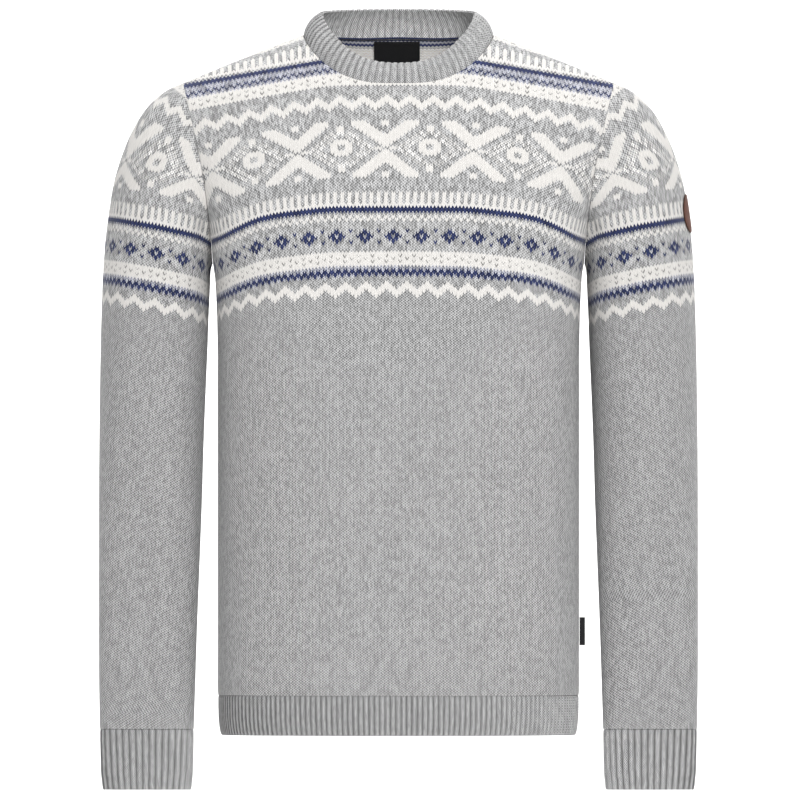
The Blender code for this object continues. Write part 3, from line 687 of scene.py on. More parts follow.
def row_number(x, z):
    """Which row of knitting passes this height, at this distance from the middle."""
    below = [-height for height in ROW_Z]
    out = np.interp(-z, below, ROW_AT)
    dropped = np.stack([np.interp(np.abs(x), DROP_X, drops) for drops in DROPS.values()])
    keys = np.array(list(DROPS))
    for _ in range(25):
        index = np.clip(np.searchsorted(keys, out) - 1, 0, len(keys) - 2)
        share = np.clip((out - keys[index]) / (keys[index + 1] - keys[index]), 0.0, 1.0)
        low = np.take_along_axis(dropped, index[None], 0)[0]
        high = np.take_along_axis(dropped, index[None] + 1, 0)[0]
        drop = low + share * (high - low)
        out = 0.5 * out + 0.5 * np.interp(-(z + drop), below, ROW_AT)
    return out


def column_number(x, z, depth):
    """Which column of stitches passes here: by the cloth's length below the yoke, by what is seen above it."""
    lowest, step, count = -700.0, 10.0, 200
    heights = np.arange(lowest, 30.0, step)
    shares = np.linspace(0.0, 1.0, count + 1)
    table = []
    for level in heights:
        wide = shares * body_row("half_width", level)
        deep = depth * other(shares, body_row("power", level))
        table.append(np.concatenate([[0.0], np.cumsum(np.hypot(np.diff(wide), np.diff(deep)))]))
    table = np.array(table)
    at_z = np.clip((z - lowest) / step, 0.0, len(heights) - 1.001)
    at_x = np.clip(np.abs(x) / body_row("half_width", z), 0.0, 1.0) * count
    i, k = at_z.astype(int), np.minimum(at_x.astype(int), count - 1)
    a, b = at_z - i, at_x - k
    round_body = ((1 - a) * (1 - b) * table[i, k] + (1 - a) * b * table[i, k + 1]
                  + a * (1 - b) * table[i + 1, k] + a * b * table[i + 1, k + 1])
    blend = eased((SEEN_Z - z) / (SEEN_Z - ROUND_Z))
    reach = blend * round_body + (1.0 - blend) * np.abs(x)
    return np.sign(x) * reach / np.interp(z, STITCH_Z, STITCH_WIDE)


def quads(rows, columns, closed=False):
    """Corner numbers of the faces of a grid of points."""
    r, c = (index.ravel() for index in np.mgrid[: rows - 1, : columns - (0 if closed else 1)])
    d = (c + 1) % columns
    return np.stack([r * columns + c, r * columns + d, (r + 1) * columns + d, (r + 1) * columns + c], -1)


def placed(name, mesh, *materials):
    thing = bpy.data.objects.new(name, mesh)
    for material in materials:
        mesh.materials.append(material)
    scene.collection.objects.link(thing)
    return thing


def shell(name, grid, uv, outside, inside, closed=False, flip=False, thickness=WALL, offset=-1.0, weights=None,
          groove=0.62):
    """A wall of cloth from a grid of points, knit outside, purl inside, as one plain mesh."""
    rows, columns = grid.shape[:2]
    points = grid.reshape(-1, 3) * MM
    used = ~np.isnan(points[:, 0])
    faces, corners = quads(rows, columns, closed), quads(rows, uv.shape[1])
    whole_faces = used[faces].all(axis=1)
    faces, corners = (np.cumsum(used) - 1)[faces[whole_faces]], corners[whole_faces]
    if flip:
        faces, corners = faces[:, ::-1], corners[:, ::-1]
    mesh = bpy.data.meshes.new(name)
    mesh.from_pydata(points[used].tolist(), [], faces.tolist())
    layer = mesh.uv_layers.new(name="knit")
    layer.data.foreach_set("uv", uv.reshape(-1, 2)[corners.ravel()].astype(np.float32).ravel())
    thing = placed(name, mesh, outside, inside)
    wall = thing.modifiers.new("wall", "SOLIDIFY")
    wall.thickness = thickness * MM
    wall.offset = offset
    wall.use_even_offset = True
    wall.material_offset = 1
    wall.material_offset_rim = 0
    if weights is not None:
        group = thing.vertex_groups.new(name="rib")
        for index, weight in enumerate(weights.reshape(-1).tolist()):
            group.add([index], weight, "REPLACE")
        wall.vertex_group = "rib"
        wall.thickness_vertex_group = groove
    return settled(thing)


def settled(thing):
    """The finished mesh without its modifiers, smooth but for its rims, riding on the sweater."""
    graph = bpy.context.evaluated_depsgraph_get()
    mesh = bpy.data.meshes.new_from_object(thing.evaluated_get(graph), preserve_all_data_layers=True, depsgraph=graph)
    thing.modifiers.clear()
    thing.vertex_groups.clear()
    thing.data = mesh
    mesh.shade_smooth()
    mesh.set_sharp_from_angle(angle=math.radians(50.0))
    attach(thing, "root")
    return thing


def pulled_in(grid, side):
    """Edge points moved back from the seams, and the cloth sunk where it rolls into them."""
    out = grid.copy()
    depth = np.zeros(grid.shape[:2])
    bend, inner = LEVELS + TURNS, NECK[side] + SHOULDER
    neck = NECK[side] if side == "back" else 0

    def sink(cells, beside, by, moves):
        depth[cells] = np.fmax(depth[cells], by)
        if moves:
            way = grid[beside] - grid[cells]
            out[cells] += SCENE_GAP / 2 * way / np.linalg.norm(way, axis=-1, keepdims=True)
    for k, by in enumerate(SEAM_ROLL):
        first = k == 0
        sink(np.s_[-1 - k, neck: inner + 1], np.s_[-2 - k, neck: inner + 1], by, first)         # top
        sink(np.s_[bend:, inner - k], np.s_[bend:, inner - k - 1], by, first)                   # armhole
        sink(np.s_[bend - k, inner:], np.s_[bend - k - 1, inner:], by, first)                   # its bottom curve
        sink(np.s_[: bend + 1, -1 - k], np.s_[: bend + 1, -2 - k], by * 0.6, first)             # side
        sink(np.s_[k, :], np.s_[k + 1, :], by * 0.6, False)                                     # hem
    if side == "back":
        low = len(grid) - 1 - YOKE_STEPS
        sink(np.s_[low, : neck + 1], np.s_[low - 1, : neck + 1], 0.5, True)
        sink(np.s_[low:, neck], np.s_[low:, neck + 1], 0.5, True)
    return out - normals_of(grid) * (1.0 if side == "front" else -1.0) * depth[..., None]


def whole(half):
    """Both halves of a grid from its right half."""
    half = half.copy()
    half[:, 0, 0] *= 0.0
    mirrored = half[:, :0:-1].copy()
    mirrored[..., 0] *= -1.0
    return np.concatenate([mirrored, half], axis=1)


def panel(name, side, outside, inside):
    """The knitted front or back, mapped in stitches and rows."""
    angles = panel_half(side)
    grid = torso(angles, side)
    x, z = grid[..., 0], grid[..., 2]
    front = side == "front"
    rows = row_number(x, z) if front else back_rows(grid)
    columns = column_number(np.nan_to_num(x), np.nan_to_num(z), FRONT_DEPTH if front else BACK_DEPTH)
    uv = whole(np.stack([columns, rows], -1))
    uv[..., 0] += half_stitch(uv[..., 1]) - CROSS_AT
    return shell(name, whole(pulled_in(grid, side)), uv, outside, inside, flip=not front)


# the row that runs along the top of the back, by distance from the middle
TOP_X = (0.0, 96.0, 120.0, 136.0, 148.0, 161.0, 173.0, 185.0, 196.5, 207.0, 211.0)
TOP_ROW = (-54.0, -53.8, -54.6, -55.5, -57.0, -58.5, -59.8, -61.3, -63.2, -65.6, -67.0)
LAST_BACK_ROW = -67.0


def back_rows(grid):
    """Rows on the back: level with the front's to the chest, then even up to the top, and on to the forward seam."""
    x, z = grid[..., 0], grid[..., 2]
    rows = row_number(x, z)
    chest = LEVELS + TURNS
    for c in range(NECK["back"] + SHOULDER + 1):
        line = grid[chest:, c]
        line = line[~np.isnan(line[:, 0])]
        length = lengths(line)
        top = int(np.argmax(line[:, 2]))
        marks, values = [0.0, length[top]], [rows[chest, c], np.interp(abs(line[top, 0]), TOP_X, TOP_ROW)]
        if c >= NECK["back"] and length[-1] > length[top]:
            marks.append(length[-1])
            values.append(LAST_BACK_ROW)
        rows[chest: chest + len(line), c] = np.interp(length, marks, values)
    return rows


front = panel("front_panel_knit", "front", front_knit, front_inside)
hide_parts("front_panel")

# ---------------------------------------------------------------- back
# The back is as wide as the front and longer: its top rows come over the shoulder to the forward seam.
back = panel("back_panel_knit", "back", back_knit, back_inside_painted_light)
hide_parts("back_panel")


# ---------------------------------------------------------------- sleeves
# Each sleeve is a tube with a shaped cap, sewn round the armhole; its bands meet the body's at the seam.
def ring_between(outer, inner, half_depth, middle_y, power, shares):
    """Superellipse from the outer point, round the front to the inner point and back."""
    turns = np.linspace(0.0, 2 * math.pi, 721)
    out, side = unit(turns, power)
    middle, reach = (outer + inner) / 2, (outer - inner) / 2
    points = middle + out[:, None] * reach - side[:, None] * np.array((0.0, half_depth, 0.0))
    points[:, 1] += middle_y
    return respaced(points, np.asarray(shares) % 1.0)


# one row for each ring of the sleeve: outer and inner edge seen from the front, depth and squareness
SLEEVE = {
    "outer_x": (211.0, 228.8, 246.5, 259.2, 269.0, 278.3, 283.7, 287.6, 290.0, 291.5, 292.5, 293.2, 293.5,
                293.5, 293.5, 293.3, 292.5),
    "outer_z": (-46.5, -54.9, -70.6, -90.2, -111.7, -141.1, -172.5, -204.8, -242.0, -288.0, -337.0, -396.0,
                -455.0, -513.5, -572.3, -631.0, -678.8),
    "inner_x": (182.0, 182.9, 183.6, 184.1, 184.4, 184.6, 184.9, 185.4, 186.1, 187.0, 188.8, 190.8, 192.5,
                194.7, 197.0, 198.9, 200.4),
    "inner_z": (-223.0, -225.4, -228.2, -232.0, -237.0, -243.0, -250.5, -261.0, -276.5, -302.8, -345.0,
                -396.0, -455.0, -513.5, -572.3, -631.0, -678.8),
    "half_depth": (58.0, 60.0, 62.5, 64.5, 66.0, 67.0, 67.0, 66.0, 64.0, 60.5, 55.5, 49.0, 42.0, 35.5, 29.5,
                   24.0, 20.5),
    "middle_y": (2.0, 2.0, 2.0, 2.0, 2.0, 2.0, 2.0, 1.5, 1.0, 0.5, 0.0, -1.5, -4.0, -7.0, -10.0, -12.5, -14.0),
    "power": (2.3, 2.3, 2.3, 2.3, 2.3, 2.3, 2.3, 2.3, 2.3, 2.3, 2.3, 2.3, 2.35, 2.4, 2.45, 2.5, 2.5),
}
SLEEVE_FADE = 5            # rings over which the armhole's own shape fades out
SLEEVE_STEP = 6            # finer rings between the solid's
SLEEVE_STITCH = 3.45       # width of a stitch
RING_COLUMN = 12.0         # the chart's column through the middle of a ring
BELOW, ROW_TALL = (0.0, 75.0, 120.0), (2.68, 2.66, 2.54)    # mean height of a row by distance below row 0
# how rows run over the cap and upper sleeve: height of some rows by distance from the middle of the body
SLEEVE_ROW_X = (176.0, 185.0, 195.0, 210.0, 222.0, 235.0, 255.0, 275.0, 296.0)
SLEEVE_ROWS = {
    0.0: (-209.0, -202.0, -196.0, -192.0, -189.5, -186.5, -183.0, -179.5, -177.0),
    -5.0: (-191.0, -185.0, -180.0, -175.5, -172.5, -169.5, -166.5, -163.5, -160.0),
    -21.0: (-152.0, -146.0, -140.5, -134.5, -130.5, -127.0, -123.5, -121.5, -120.0),
    -31.0: (-128.0, -120.0, -112.0, -101.7, -95.0, -88.0, -82.0, -79.0, -77.0),
    -38.5: (-110.0, -101.0, -92.0, -79.5, -71.0, -62.0, -56.0, -52.0, -49.0),
    -47.0: (-88.0, -79.0, -69.0, -55.0, -45.0, -36.0, -29.0, -24.0, -20.0),
}
# where the wale through the middle of a ring runs: distance from the middle of the body by height
RING_Z = (-700.0, -400.0, -213.6, -175.4, -147.6, -126.3, -104.3, -82.3, -61.7, -40.0)
RING_X = (296.0, 272.0, 254.0, 247.5, 243.0, 237.9, 226.1, 216.1, 208.3, 200.0)


def armhole_loop():
    """The seam from the tip, down the front to the underarm, and up the back."""
    front, back = (torso(armhole_edge(side), side) for side in ("front", "back"))
    return np.concatenate([front[::-1], back[1:-1]])


def smooth_table(name):
    """A sleeve column read between its rings on a smooth curve."""
    values = np.array(SLEEVE[name])
    count = len(values)
    slope = np.gradient(values)
    at = np.linspace(0.0, count - 1.0, (count - 1) * SLEEVE_STEP + 1)
    k = np.minimum(at.astype(int), count - 2)
    t = at - k
    a, b = values[k], values[k + 1]
    return ((2 * t ** 3 - 3 * t ** 2 + 1) * a + (t ** 3 - 2 * t ** 2 + t) * slope[k]
            + (3 * t ** 2 - 2 * t ** 3) * b + (t ** 3 - t ** 2) * slope[k + 1])


def sleeve():
    """Rings of the wearer's left sleeve, armhole to cuff."""
    loop = armhole_loop()
    count = len(loop)
    worn = lengths(np.concatenate([loop, loop[:1]]))
    worn = worn[:-1] / worn[-1]
    bottom = len(armhole_shares("front")) - 1
    half = worn[bottom]
    front_part = worn[: bottom + 1] / half * 0.5
    back_part = 0.5 + (worn[bottom + 1:] - half) / (1.0 - half) * 0.5
    first = np.concatenate([front_part, back_part])
    even = np.arange(count) / count
    rings = []
    for k, (ox, oz, ix, iz, deep, middle_y, power) in enumerate(zip(*(smooth_table(name) for name in SLEEVE))):
        fade = eased(k / SLEEVE_STEP / SLEEVE_FADE)
        shares = (1.0 - fade) * first + fade * even
        ring = ring_between(np.array((ox, 0.0, oz)), np.array((ix, 0.0, iz)), deep, middle_y, power, shares)
        if k == 0:
            rest = loop - ring
        rings.append(ring + (1.0 - fade) * rest)
    rings = np.stack(rings)
    rings[0] += (SCENE_GAP, 0.0, 0.0)
    normal = normals_of(rings, True)
    for k, sink in ((0, 0.25), (1, 0.05)):
        rings[k] -= normal[k] * sink
    return rings


def length_from_outer(rings, bottom, ring_x):
    """How far each point and the ring's wale are from the sleeve's outer line, level along the cloth; back is
    negative. The underarm belongs to both ways, so its length by the back comes apart."""
    count = rings.shape[1]
    out = np.zeros(rings.shape[:2])
    levels = np.arange(-42.0, -742.0, -3.0)
    down = -np.minimum.accumulate(rings[..., 2])
    for forward, way in ((True, range(bottom + 1)), (False, [0, *range(count - 1, bottom - 1, -1)])):
        place = np.stack([[np.interp(-levels, down[:, c], rings[:, c, k]) for k in (0, 1)] for c in way])
        steps = np.hypot(*np.diff(place, axis=0).transpose(1, 0, 2))
        table = np.concatenate([np.zeros((1, len(levels))), np.cumsum(steps, axis=0)])
        if forward:
            middle = np.array([np.interp(-x, -np.minimum.accumulate(place[:, 0, k]), table[:, k])
                               for k, x in enumerate(ring_x(levels))])
        for step, c in enumerate(way):
            if forward or (step and c != bottom):
                out[:, c] = (1.0 if forward else -1.0) * np.interp(-rings[:, c, 2], -levels, table[step])
    edge = -np.interp(-rings[:, bottom, 2], -levels, table[-1])
    return out, edge, np.interp(-rings[..., 2], -levels, middle)


def sleeve_uv(rings, moved):
    """Stitches counted level round the sleeve from the ring's wale; rows by their heights on the cap, even below."""
    bottom = len(armhole_shares("front")) - 1
    across, edge, middle = length_from_outer(rings, bottom, lambda z: moved + np.interp(z, RING_Z, RING_X))
    x, z = rings[..., 0], rings[..., 2]
    keys = sorted(SLEEVE_ROWS)
    heights = np.stack([np.interp(x, SLEEVE_ROW_X, SLEEVE_ROWS[key]) for key in keys])
    down = heights[-1] - z
    rows = 1.0 + down / np.interp(down, BELOW, ROW_TALL)
    for k in range(len(keys) - 1):
        top, low = heights[k], heights[k + 1]
        inside = (z > low) & ((z <= top) | (k == 0))
        rows = np.where(inside, keys[k + 1] + 1.0 + (keys[k] - keys[k + 1]) * (z - low) / (top - low), rows)
    columns = RING_COLUMN + half_stitch(rows) + (middle - across) / SLEEVE_STITCH
    uv = np.roll(np.stack([columns, rows], -1), -bottom, axis=1)
    last = uv[:, :1].copy()
    uv[:, 0, 0] = RING_COLUMN + half_stitch(rows[:, bottom]) + (middle[:, bottom] - edge) / SLEEVE_STITCH
    return np.roll(rings, -bottom, axis=1), np.concatenate([uv, last], axis=1)


flipped = (-1.0, 1.0, 1.0)
sleeve_rings = sleeve()
for name, moved, side in (("left_sleeve", 9.5, 1.0), ("right_sleeve", 0.0, -1.0)):
    rings, uv = sleeve_uv(sleeve_rings, moved)
    knit = shell(name + "_knit", rings * (side, 1.0, 1.0), uv, sleeve_knit, front_inside, closed=True,
                 flip=side < 0.0)
    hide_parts(name)


# ---------------------------------------------------------------- ribs
# Welt, cuffs and neckband are ribbed tubes: a raised rib of two stitch columns, a groove of one, plain inside.
RIB_WALL = 3.0             # ribbed cloth, crest to plain inside
RIB_GROOVE = 0.50          # share of it left under a groove
RIB_STITCH = 2.6           # height of a stitch
RIB_PROFILE = (0.0, 0.25, 0.72, 0.97, 1.0, 0.94, 1.0, 0.97, 0.72, 0.25)
HEM_Z = -685.0             # bottom of the welt
WELT_RIBS, CUFF_RIBS, COLLAR_RIBS = 184, 34, 76

CUFF = {
    "z": (-679.1, -720.0, -738.4),
    "middle_x": (246.45, 246.3, 246.2),
    "half_width": (46.2, 45.4, 43.6),
    "half_depth": (20.3, 17.0, 15.0),
    "middle_y": (-14.0, -16.0, -17.0),
}

BAND_SIDE = 75.0           # top edge of the neckband in plan
BAND_FRONT = 64.0
BAND_BACK = 56.0
BAND_BULGE = 3.6
BAND_BACK_RISE = 2.4       # how much higher than the solid the neckband stands at the back
# neckband's top edge: height by distance from the neck's middle, front is negative
BAND_TOP = {
    "y": (-64.0, -59.0, -46.6, -31.0, -16.0, 0.0, 56.0),
    "z": (-26.0, -18.6, -2.0, 11.5, 21.0, 24.5, 25.5),
}


def rib_tube(name, curve, ribs, outside, tips, upward=True, mirror=False, inside=rib_inside):
    """A ribbed tube; curve(points per ring) gives rings of its outside from its seam or lower edge on."""
    points = len(RIB_PROFILE) * ribs
    rings = curve(points)
    normal = normals_of(rings, True) * (-1.0 if mirror else 1.0)
    weights = np.array(tips)[:, None] * np.tile(RIB_PROFILE, ribs)
    columns = np.arange(points + 1) / points * ribs * 3.0 - 0.5
    rows = lengths(rings[:, 0]) / RIB_STITCH * (-1.0 if upward else 1.0)
    uv = np.stack(np.broadcast_arrays(columns[None], rows[:, None]), -1)
    knit = shell(name + "_knit", rings - normal * RIB_WALL, uv, outside, inside, closed=True, flip=mirror,
                 thickness=RIB_WALL, offset=1.0, weights=weights, groove=RIB_GROOVE)
    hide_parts(name)


def welt_curve(count):
    turns, shares = np.linspace(0.0, 2 * math.pi, 2881), np.arange(count) / count
    rings = []
    for z in (HEM_Z, HEM_Z + 1.2, HEM_Z + 3.2, -678.0, -668.0, -656.0, WELT_TOP_Z - 1.6, WELT_TOP_Z):
        across, up = unit(turns, body_row("power", z))
        wide = body_row("half_width", z)
        depth = np.where(up < 0.0, FRONT_DEPTH, BACK_DEPTH) * wide / HALF_WIDTH
        rings.append(respaced(np.stack([wide * across, depth * up, np.full(len(turns), z)], -1), shares))
    return np.stack(rings)


def cuff_curve(count):
    rings = []
    for z in (-679.1, -681.0, -690.0, -700.0, -710.0, -720.0, -728.0, -734.0, -737.2, -738.4):
        x, wide, deep, y = (np.interp(-z, [-h for h in CUFF["z"]], CUFF[name])
                            for name in ("middle_x", "half_width", "half_depth", "middle_y"))
        outer, inner = np.array((x + wide, 0.0, z)), np.array((x - wide, 0.0, z))
        rings.append(ring_between(outer, inner, deep, y, 2.5, np.arange(count) / count))
    return np.stack(rings)


def neck_seam():
    """The neckline all the way round from centre front by the wearer's left."""
    pieces = (("front", 0.0, CORNER_TURN), ("back", CORNER_TURN, math.pi / 2), ("back", math.pi / 2, math.pi))
    half = []
    for side, start, end in pieces:
        found = fitted(neck_angles(side, start, end), side, np.linspace(0.0, 1.0, 60))
        half.append(torso(found, side)[:-1])
    half = np.concatenate(half + [torso(found[-1:], "back")])
    return np.concatenate([half, half[-2:0:-1] * flipped])


def collar_curve(count):
    seam, shares = neck_seam(), np.arange(count) / count
    low = respaced(np.concatenate([seam, seam[:1]]), shares)
    turns = np.linspace(0.0, 2 * math.pi, 2881)
    folded = np.minimum(turns, 2 * math.pi - turns)
    front_half = folded < math.pi / 2
    power = np.where(front_half, NECK_FRONT_POWER, NECK_BACK_POWER)
    out, side = unit(np.where(front_half, folded, math.pi - folded), power)
    x = BAND_SIDE * side * np.where(turns <= math.pi, 1.0, -1.0)
    y = np.where(front_half, -BAND_FRONT, BAND_BACK) * out
    top = np.interp(y, BAND_TOP["y"], BAND_TOP["z"]) + BAND_BACK_RISE * np.clip(y / BAND_BACK, 0.0, 1.0)
    high = respaced(np.stack([x, y, top], -1), shares)
    rise = high - low
    along = np.roll(low, -1, axis=0) - np.roll(low, 1, axis=0)
    outward = np.cross(along, rise)
    outward /= np.linalg.norm(outward, axis=1, keepdims=True)
    rings = np.stack([low + share * rise + BAND_BULGE * math.sin(math.pi * share) * outward
                      for share in (0.0, 0.05, 0.14, 0.25, 0.36, 0.48, 0.60, 0.72, 0.82, 0.90, 0.96, 1.0)])
    rings[0] -= 0.3 * (rings[1] - rings[0]) / np.linalg.norm(rings[1] - rings[0], axis=1, keepdims=True)
    return rings


CUFF_TIPS = (0.35, 0.9, 1.0, 1.0, 1.0, 1.0, 1.0, 1.0, 0.85, 0.55)
rib_tube("hem_rib", welt_curve, WELT_RIBS, rib_knit,
         (0.55, 0.85, 1.0, 1.0, 1.0, 1.0, 0.9, 0.35))
rib_tube("left_cuff", cuff_curve, CUFF_RIBS, rib_knit, CUFF_TIPS, upward=False)
rib_tube("right_cuff", lambda count: cuff_curve(count) * flipped, CUFF_RIBS,
         rib_knit, CUFF_TIPS, upward=False, mirror=True)
rib_tube("collar", collar_curve, COLLAR_RIBS, collar_knit,
         (0.3, 0.75, 1.0, 1.0, 1.0, 1.0, 1.0, 1.0, 1.0, 1.0, 0.85, 0.6), inside=collar_inside_painted_light)


# ---------------------------------------------------------------- linking
# The neckband is linked to the body stitch by stitch: a chain of yarn runs round the inside of the neck seam.
def stitch_tree():
    """One rounded stitch after another along a line of points."""
    tree = bpy.data.node_groups.new("stitches", "GeometryNodeTree")
    for name, kind in (("Line", "Geometry"), ("Spacing", "Float"), ("Length", "Float"), ("Thickness", "Float"),
                       ("Thread", "Material")):
        tree.interface.new_socket(name, in_out="INPUT", socket_type="NodeSocket" + kind)
    tree.interface.new_socket("Stitches", in_out="OUTPUT", socket_type="NodeSocketGeometry")
    given, curve, even, way, turn, bead, size, place, real, finish, out = (tree.nodes.new(kind) for kind in (
        "NodeGroupInput", "GeometryNodeMeshToCurve", "GeometryNodeResampleCurve", "GeometryNodeInputTangent",
        "FunctionNodeAlignRotationToVector", "GeometryNodeMeshUVSphere", "ShaderNodeCombineXYZ",
        "GeometryNodeInstanceOnPoints", "GeometryNodeRealizeInstances", "GeometryNodeSetMaterial",
        "NodeGroupOutput"))
    even.mode = "LENGTH"
    bead.inputs["Segments"].default_value, bead.inputs["Rings"].default_value = 8, 6
    for start, output, end, entry in (
            (given, "Line", curve, "Mesh"), (curve, "Curve", even, "Curve"), (given, "Spacing", even, "Length"),
            (way, 0, turn, "Vector"), (given, "Thickness", size, 0), (given, "Thickness", size, 1),
            (given, "Length", size, 2), (even, "Curve", place, "Points"), (bead, "Mesh", place, "Instance"),
            (turn, "Rotation", place, "Rotation"), (size, 0, place, "Scale"), (place, "Instances", real, "Geometry"),
            (real, "Geometry", finish, "Geometry"), (given, "Thread", finish, "Material"),
            (finish, "Geometry", out, "Stitches")):
        tree.links.new(start.outputs[output], end.inputs[entry])
    return tree


def stitches(name, points, spacing, length, thickness, thread, slot, closed=False):
    count = len(points)
    edges = [(k, (k + 1) % count) for k in range(count if closed else count - 1)]
    mesh = bpy.data.meshes.new(name)
    mesh.from_pydata((np.asarray(points) * MM).tolist(), edges, [])
    thing = placed(name, mesh, thread)
    made = thing.modifiers.new("stitches", "NODES")
    made.node_group = STITCHES
    values = {"Spacing": spacing * MM, "Length": length / 2 * MM, "Thickness": thickness / 2 * MM, "Thread": thread}
    for item in STITCHES.interface.items_tree:
        if item.name in values and item.in_out == "INPUT":
            made[item.identifier] = values[item.name]
    return settled(thing)


def thread(name, colour):
    return Look(name, {"Base Color": (*colour, 1.0), "Roughness": 0.9, "Sheen Weight": 0.15}).material


STITCHES = stitch_tree()
band = collar_curve(480)
chain = band[0] - normals_of(band, True)[0] * (RIB_WALL + 1.0) - (0.0, 0.0, 0.2)
stitches("neck_linking", chain, 2.3, 3.4, 2.2, thread("linking_yarn", NAVY), "collar", closed=True)


# ---------------------------------------------------------------- trim
# Bare trim: a black woven label folded double and sewn inside the back of the neckband, a folded tag of the same
# ribbon in the side seam, and a round leather patch stitched to the wearer's left sleeve.
LABEL = {"x": -1.5, "width": 45.0, "top": -5.0, "height": 40.0}
TAG = {"top": -569.5, "height": 27.5, "reach": 5.2, "ply": 0.45, "fold": 0.5}
PATCH = {"ring": 6.03, "share": 0.039, "radius": 19.0}


def ribbon_black(name):
    look = Look(name, {"Roughness": 0.7, "Specular IOR Level": 0.3, "Sheen Weight": 0.05})
    place = look.node("ShaderNodeTexCoord").outputs["Object"]
    wave = look.node("ShaderNodeTexWave", {"Vector": place, "Scale": 700.0, "Distortion": 1.2}, bands_direction="Z")
    wave = wave.outputs["Fac"]
    colour = look.mix(wave, (0.005, 0.005, 0.006), (0.013, 0.013, 0.015))
    return look.finish(colour, wave, strength=0.3, distance=0.0002)


def leather(name, dark, light):
    look = Look(name, {"Roughness": 0.7, "Specular IOR Level": 0.15})
    place = look.node("ShaderNodeTexCoord").outputs["Object"]
    grain = look.node("ShaderNodeTexVoronoi", {"Vector": place, "Scale": 900.0}).outputs["Distance"]
    tone = look.node("ShaderNodeTexNoise", {"Vector": place, "Scale": 160.0}).outputs[0]
    return look.finish(look.mix(tone, dark, light), grain, strength=0.4, distance=0.0003)


def label_points(heights, wide, depth):
    """Points beside the inside of the back, by height and by share of the label's width."""
    block = whole(torso(panel_half("back"), "back"))[LEVELS + TURNS:][: BACK_CHEST + 1]
    middle = block.shape[1] // 2
    block = block[:, middle - 14: middle + 15]      # the columns behind the label, and some beside it
    block = block + normals_of(block) * (WALL + GAP + 0.15 + depth)
    lines = np.stack([np.stack([np.interp(heights, block[:, c, 2], block[:, c, k]) for k in range(3)], -1)
                      for c in range(block.shape[1])], axis=1)
    x = LABEL["x"] + LABEL["width"] * wide
    return np.stack([[np.interp(x, row[:, 0], row[:, k]) for k in range(3)] for row in lines]).transpose(0, 2, 1)


def ribbon_label():
    wide = np.linspace(-0.5, 0.5, 19)
    low, high = LABEL["top"] - LABEL["height"], LABEL["top"]
    rows = [label_points(np.linspace(high, low + 0.6, 16), wide, 0.15)]
    for bend in np.linspace(0.0, math.pi, 9)[1:-1]:
        rows.append(label_points(np.array([low + 0.6 - 0.5 * math.sin(bend)]), wide, 0.5 - 0.35 * math.cos(bend)))
    rows.append(label_points(np.linspace(low + 0.6, high, 16), wide, 0.85))
    return np.concatenate(rows)


def ribbon_tag():
    fold, reach = TAG["fold"], TAG["reach"]
    start = HALF_WIDTH + GAP + 0.1
    bend = np.linspace(-math.pi / 2, math.pi / 2, 13)
    x = np.concatenate([np.linspace(start, start + reach - fold, 5)[:-1], start + reach - fold + fold * np.cos(bend),
                        np.linspace(start + reach - fold, start, 5)[1:]])
    y = np.concatenate([np.full(4, -fold), fold * np.sin(bend), np.full(4, fold)])
    z = TAG["top"] - TAG["height"] * np.linspace(1.0, 0.0, 15)
    return np.stack([np.stack([x, y, np.full(len(x), height)], -1) for height in z])


def on_sleeve(ring, share):
    """A point of the sleeve's outside and the way out of it."""
    count = sleeve_rings.shape[1]

    def point(ring, share):
        at, around = ring * SLEEVE_STEP, share * count
        k, c = int(at), int(math.floor(around))
        t, s = at - k, around - c
        near, far = sleeve_rings[k], sleeve_rings[k + 1]
        return ((1 - t) * ((1 - s) * near[c % count] + s * near[(c + 1) % count])
                + t * ((1 - s) * far[c % count] + s * far[(c + 1) % count]))
    way = np.cross(point(ring, share + 0.01) - point(ring, share - 0.01),
                   point(ring + 0.1, share) - point(ring - 0.1, share))
    return point(ring, share), way / np.linalg.norm(way)


def round_on_sleeve(profile, turns):
    """Rings round the patch's middle from (share of the radius, height) pairs."""
    ring, share, radius = PATCH["ring"], PATCH["share"], PATCH["radius"]
    down = np.linalg.norm(on_sleeve(ring + 0.5, share)[0] - on_sleeve(ring - 0.5, share)[0])
    girth = np.linalg.norm(on_sleeve(ring, share + 0.02)[0] - on_sleeve(ring, share - 0.02)[0]) / 0.04
    rings = []
    for part, height in profile:
        row = []
        for t in np.arange(turns) / turns * 2.0 * math.pi:
            place, way = on_sleeve(ring + part * radius * math.cos(t) / down,
                                   share + part * radius * math.sin(t) / girth)
            row.append(place + way * (GAP + 0.1 + height))
        rings.append(row)
    return np.array(rings)


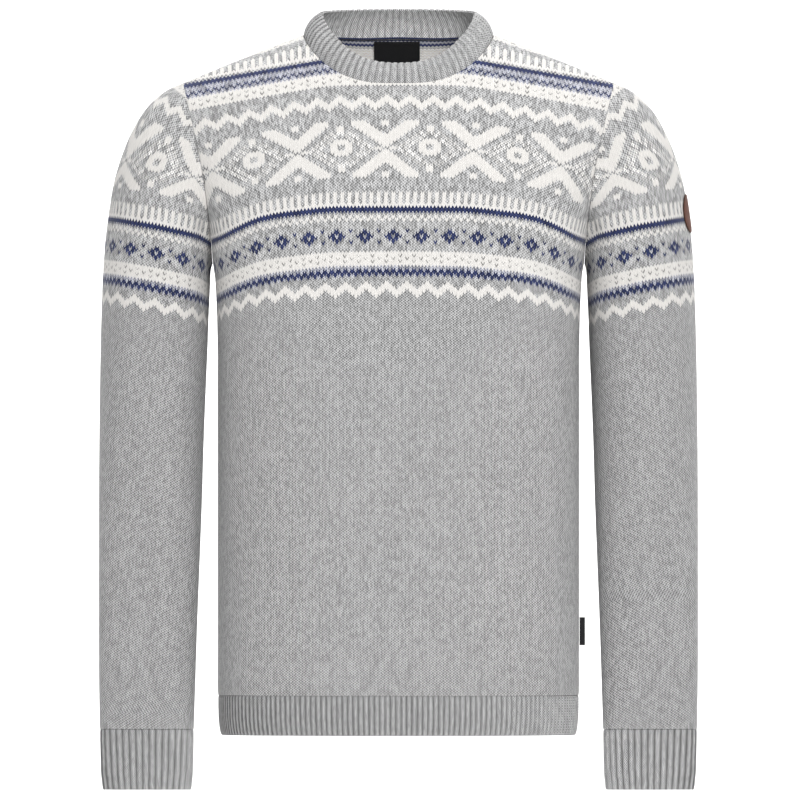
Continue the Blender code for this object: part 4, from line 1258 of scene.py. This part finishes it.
def round_patch(name, rings, face, edge, rim):
    count, turns = rings.shape[:2]
    ends = [list(range(turns))[::-1], list(range((count - 1) * turns, count * turns))]
    kinds = [0, 1] + [int(r >= rim) for r in range(count - 1) for _ in range(turns)]
    mesh = bpy.data.meshes.new(name)
    mesh.from_pydata((rings.reshape(-1, 3) * MM).tolist(), [], ends + quads(count, turns, True).tolist())
    thing = placed(name, mesh, face, edge)
    mesh.polygons.foreach_set("material_index", kinds)
    return settled(thing)


black = ribbon_black("black_ribbon")
label_grid = ribbon_label()
label_ribbon = shell("neck_label_ribbon", label_grid, np.zeros((*label_grid.shape[:2], 2)), black, black,
                     thickness=0.28, offset=0.0)
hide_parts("neck_label")
tag_grid = ribbon_tag()
tag_ribbon = shell("side_tag_ribbon", tag_grid, np.zeros((*tag_grid.shape[:2], 2)), black, black,
                   thickness=TAG["ply"], offset=0.0, flip=True)
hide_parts("side_tag")
# the disc from its middle out: a groove for the stitches, a rounded edge and the underside
PATCH_PROFILE = ((0.05, 1.15), (0.35, 1.2), (0.65, 1.2), (0.80, 1.15), (0.855, 0.95), (0.905, 0.95), (0.945, 1.2),
                 (0.975, 1.2), (0.995, 1.0), (1.0, 0.55), (0.99, 0.1), (0.95, 0.0), (0.5, 0.0))
PATCH_RIM = 7              # the profile's step where the cut edge starts
round_leather = round_patch("patch_leather", round_on_sleeve(PATCH_PROFILE, 56),
                            leather("patch_face", (0.075, 0.03, 0.021), (0.16, 0.072, 0.052)),
                            leather("patch_edge", (0.035, 0.016, 0.010), (0.06, 0.028, 0.018)),
                            PATCH_RIM)
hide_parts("sleeve_patch")
stitches("patch_stitches", round_on_sleeve(((0.88, 1.05),), 72)[0], 2.9, 2.2, 0.5,
         thread("patch_thread", (0.10, 0.042, 0.03)), "sleeve_patch", closed=True)
label_seam = label_points(np.array([LABEL["top"] - 1.6]), np.linspace(-0.47, 0.47, 24), 1.05)[0]
stitches("label_stitches", label_seam, 2.2, 1.7, 0.4, thread("label_thread", (0.02, 0.02, 0.022)), "neck_label")
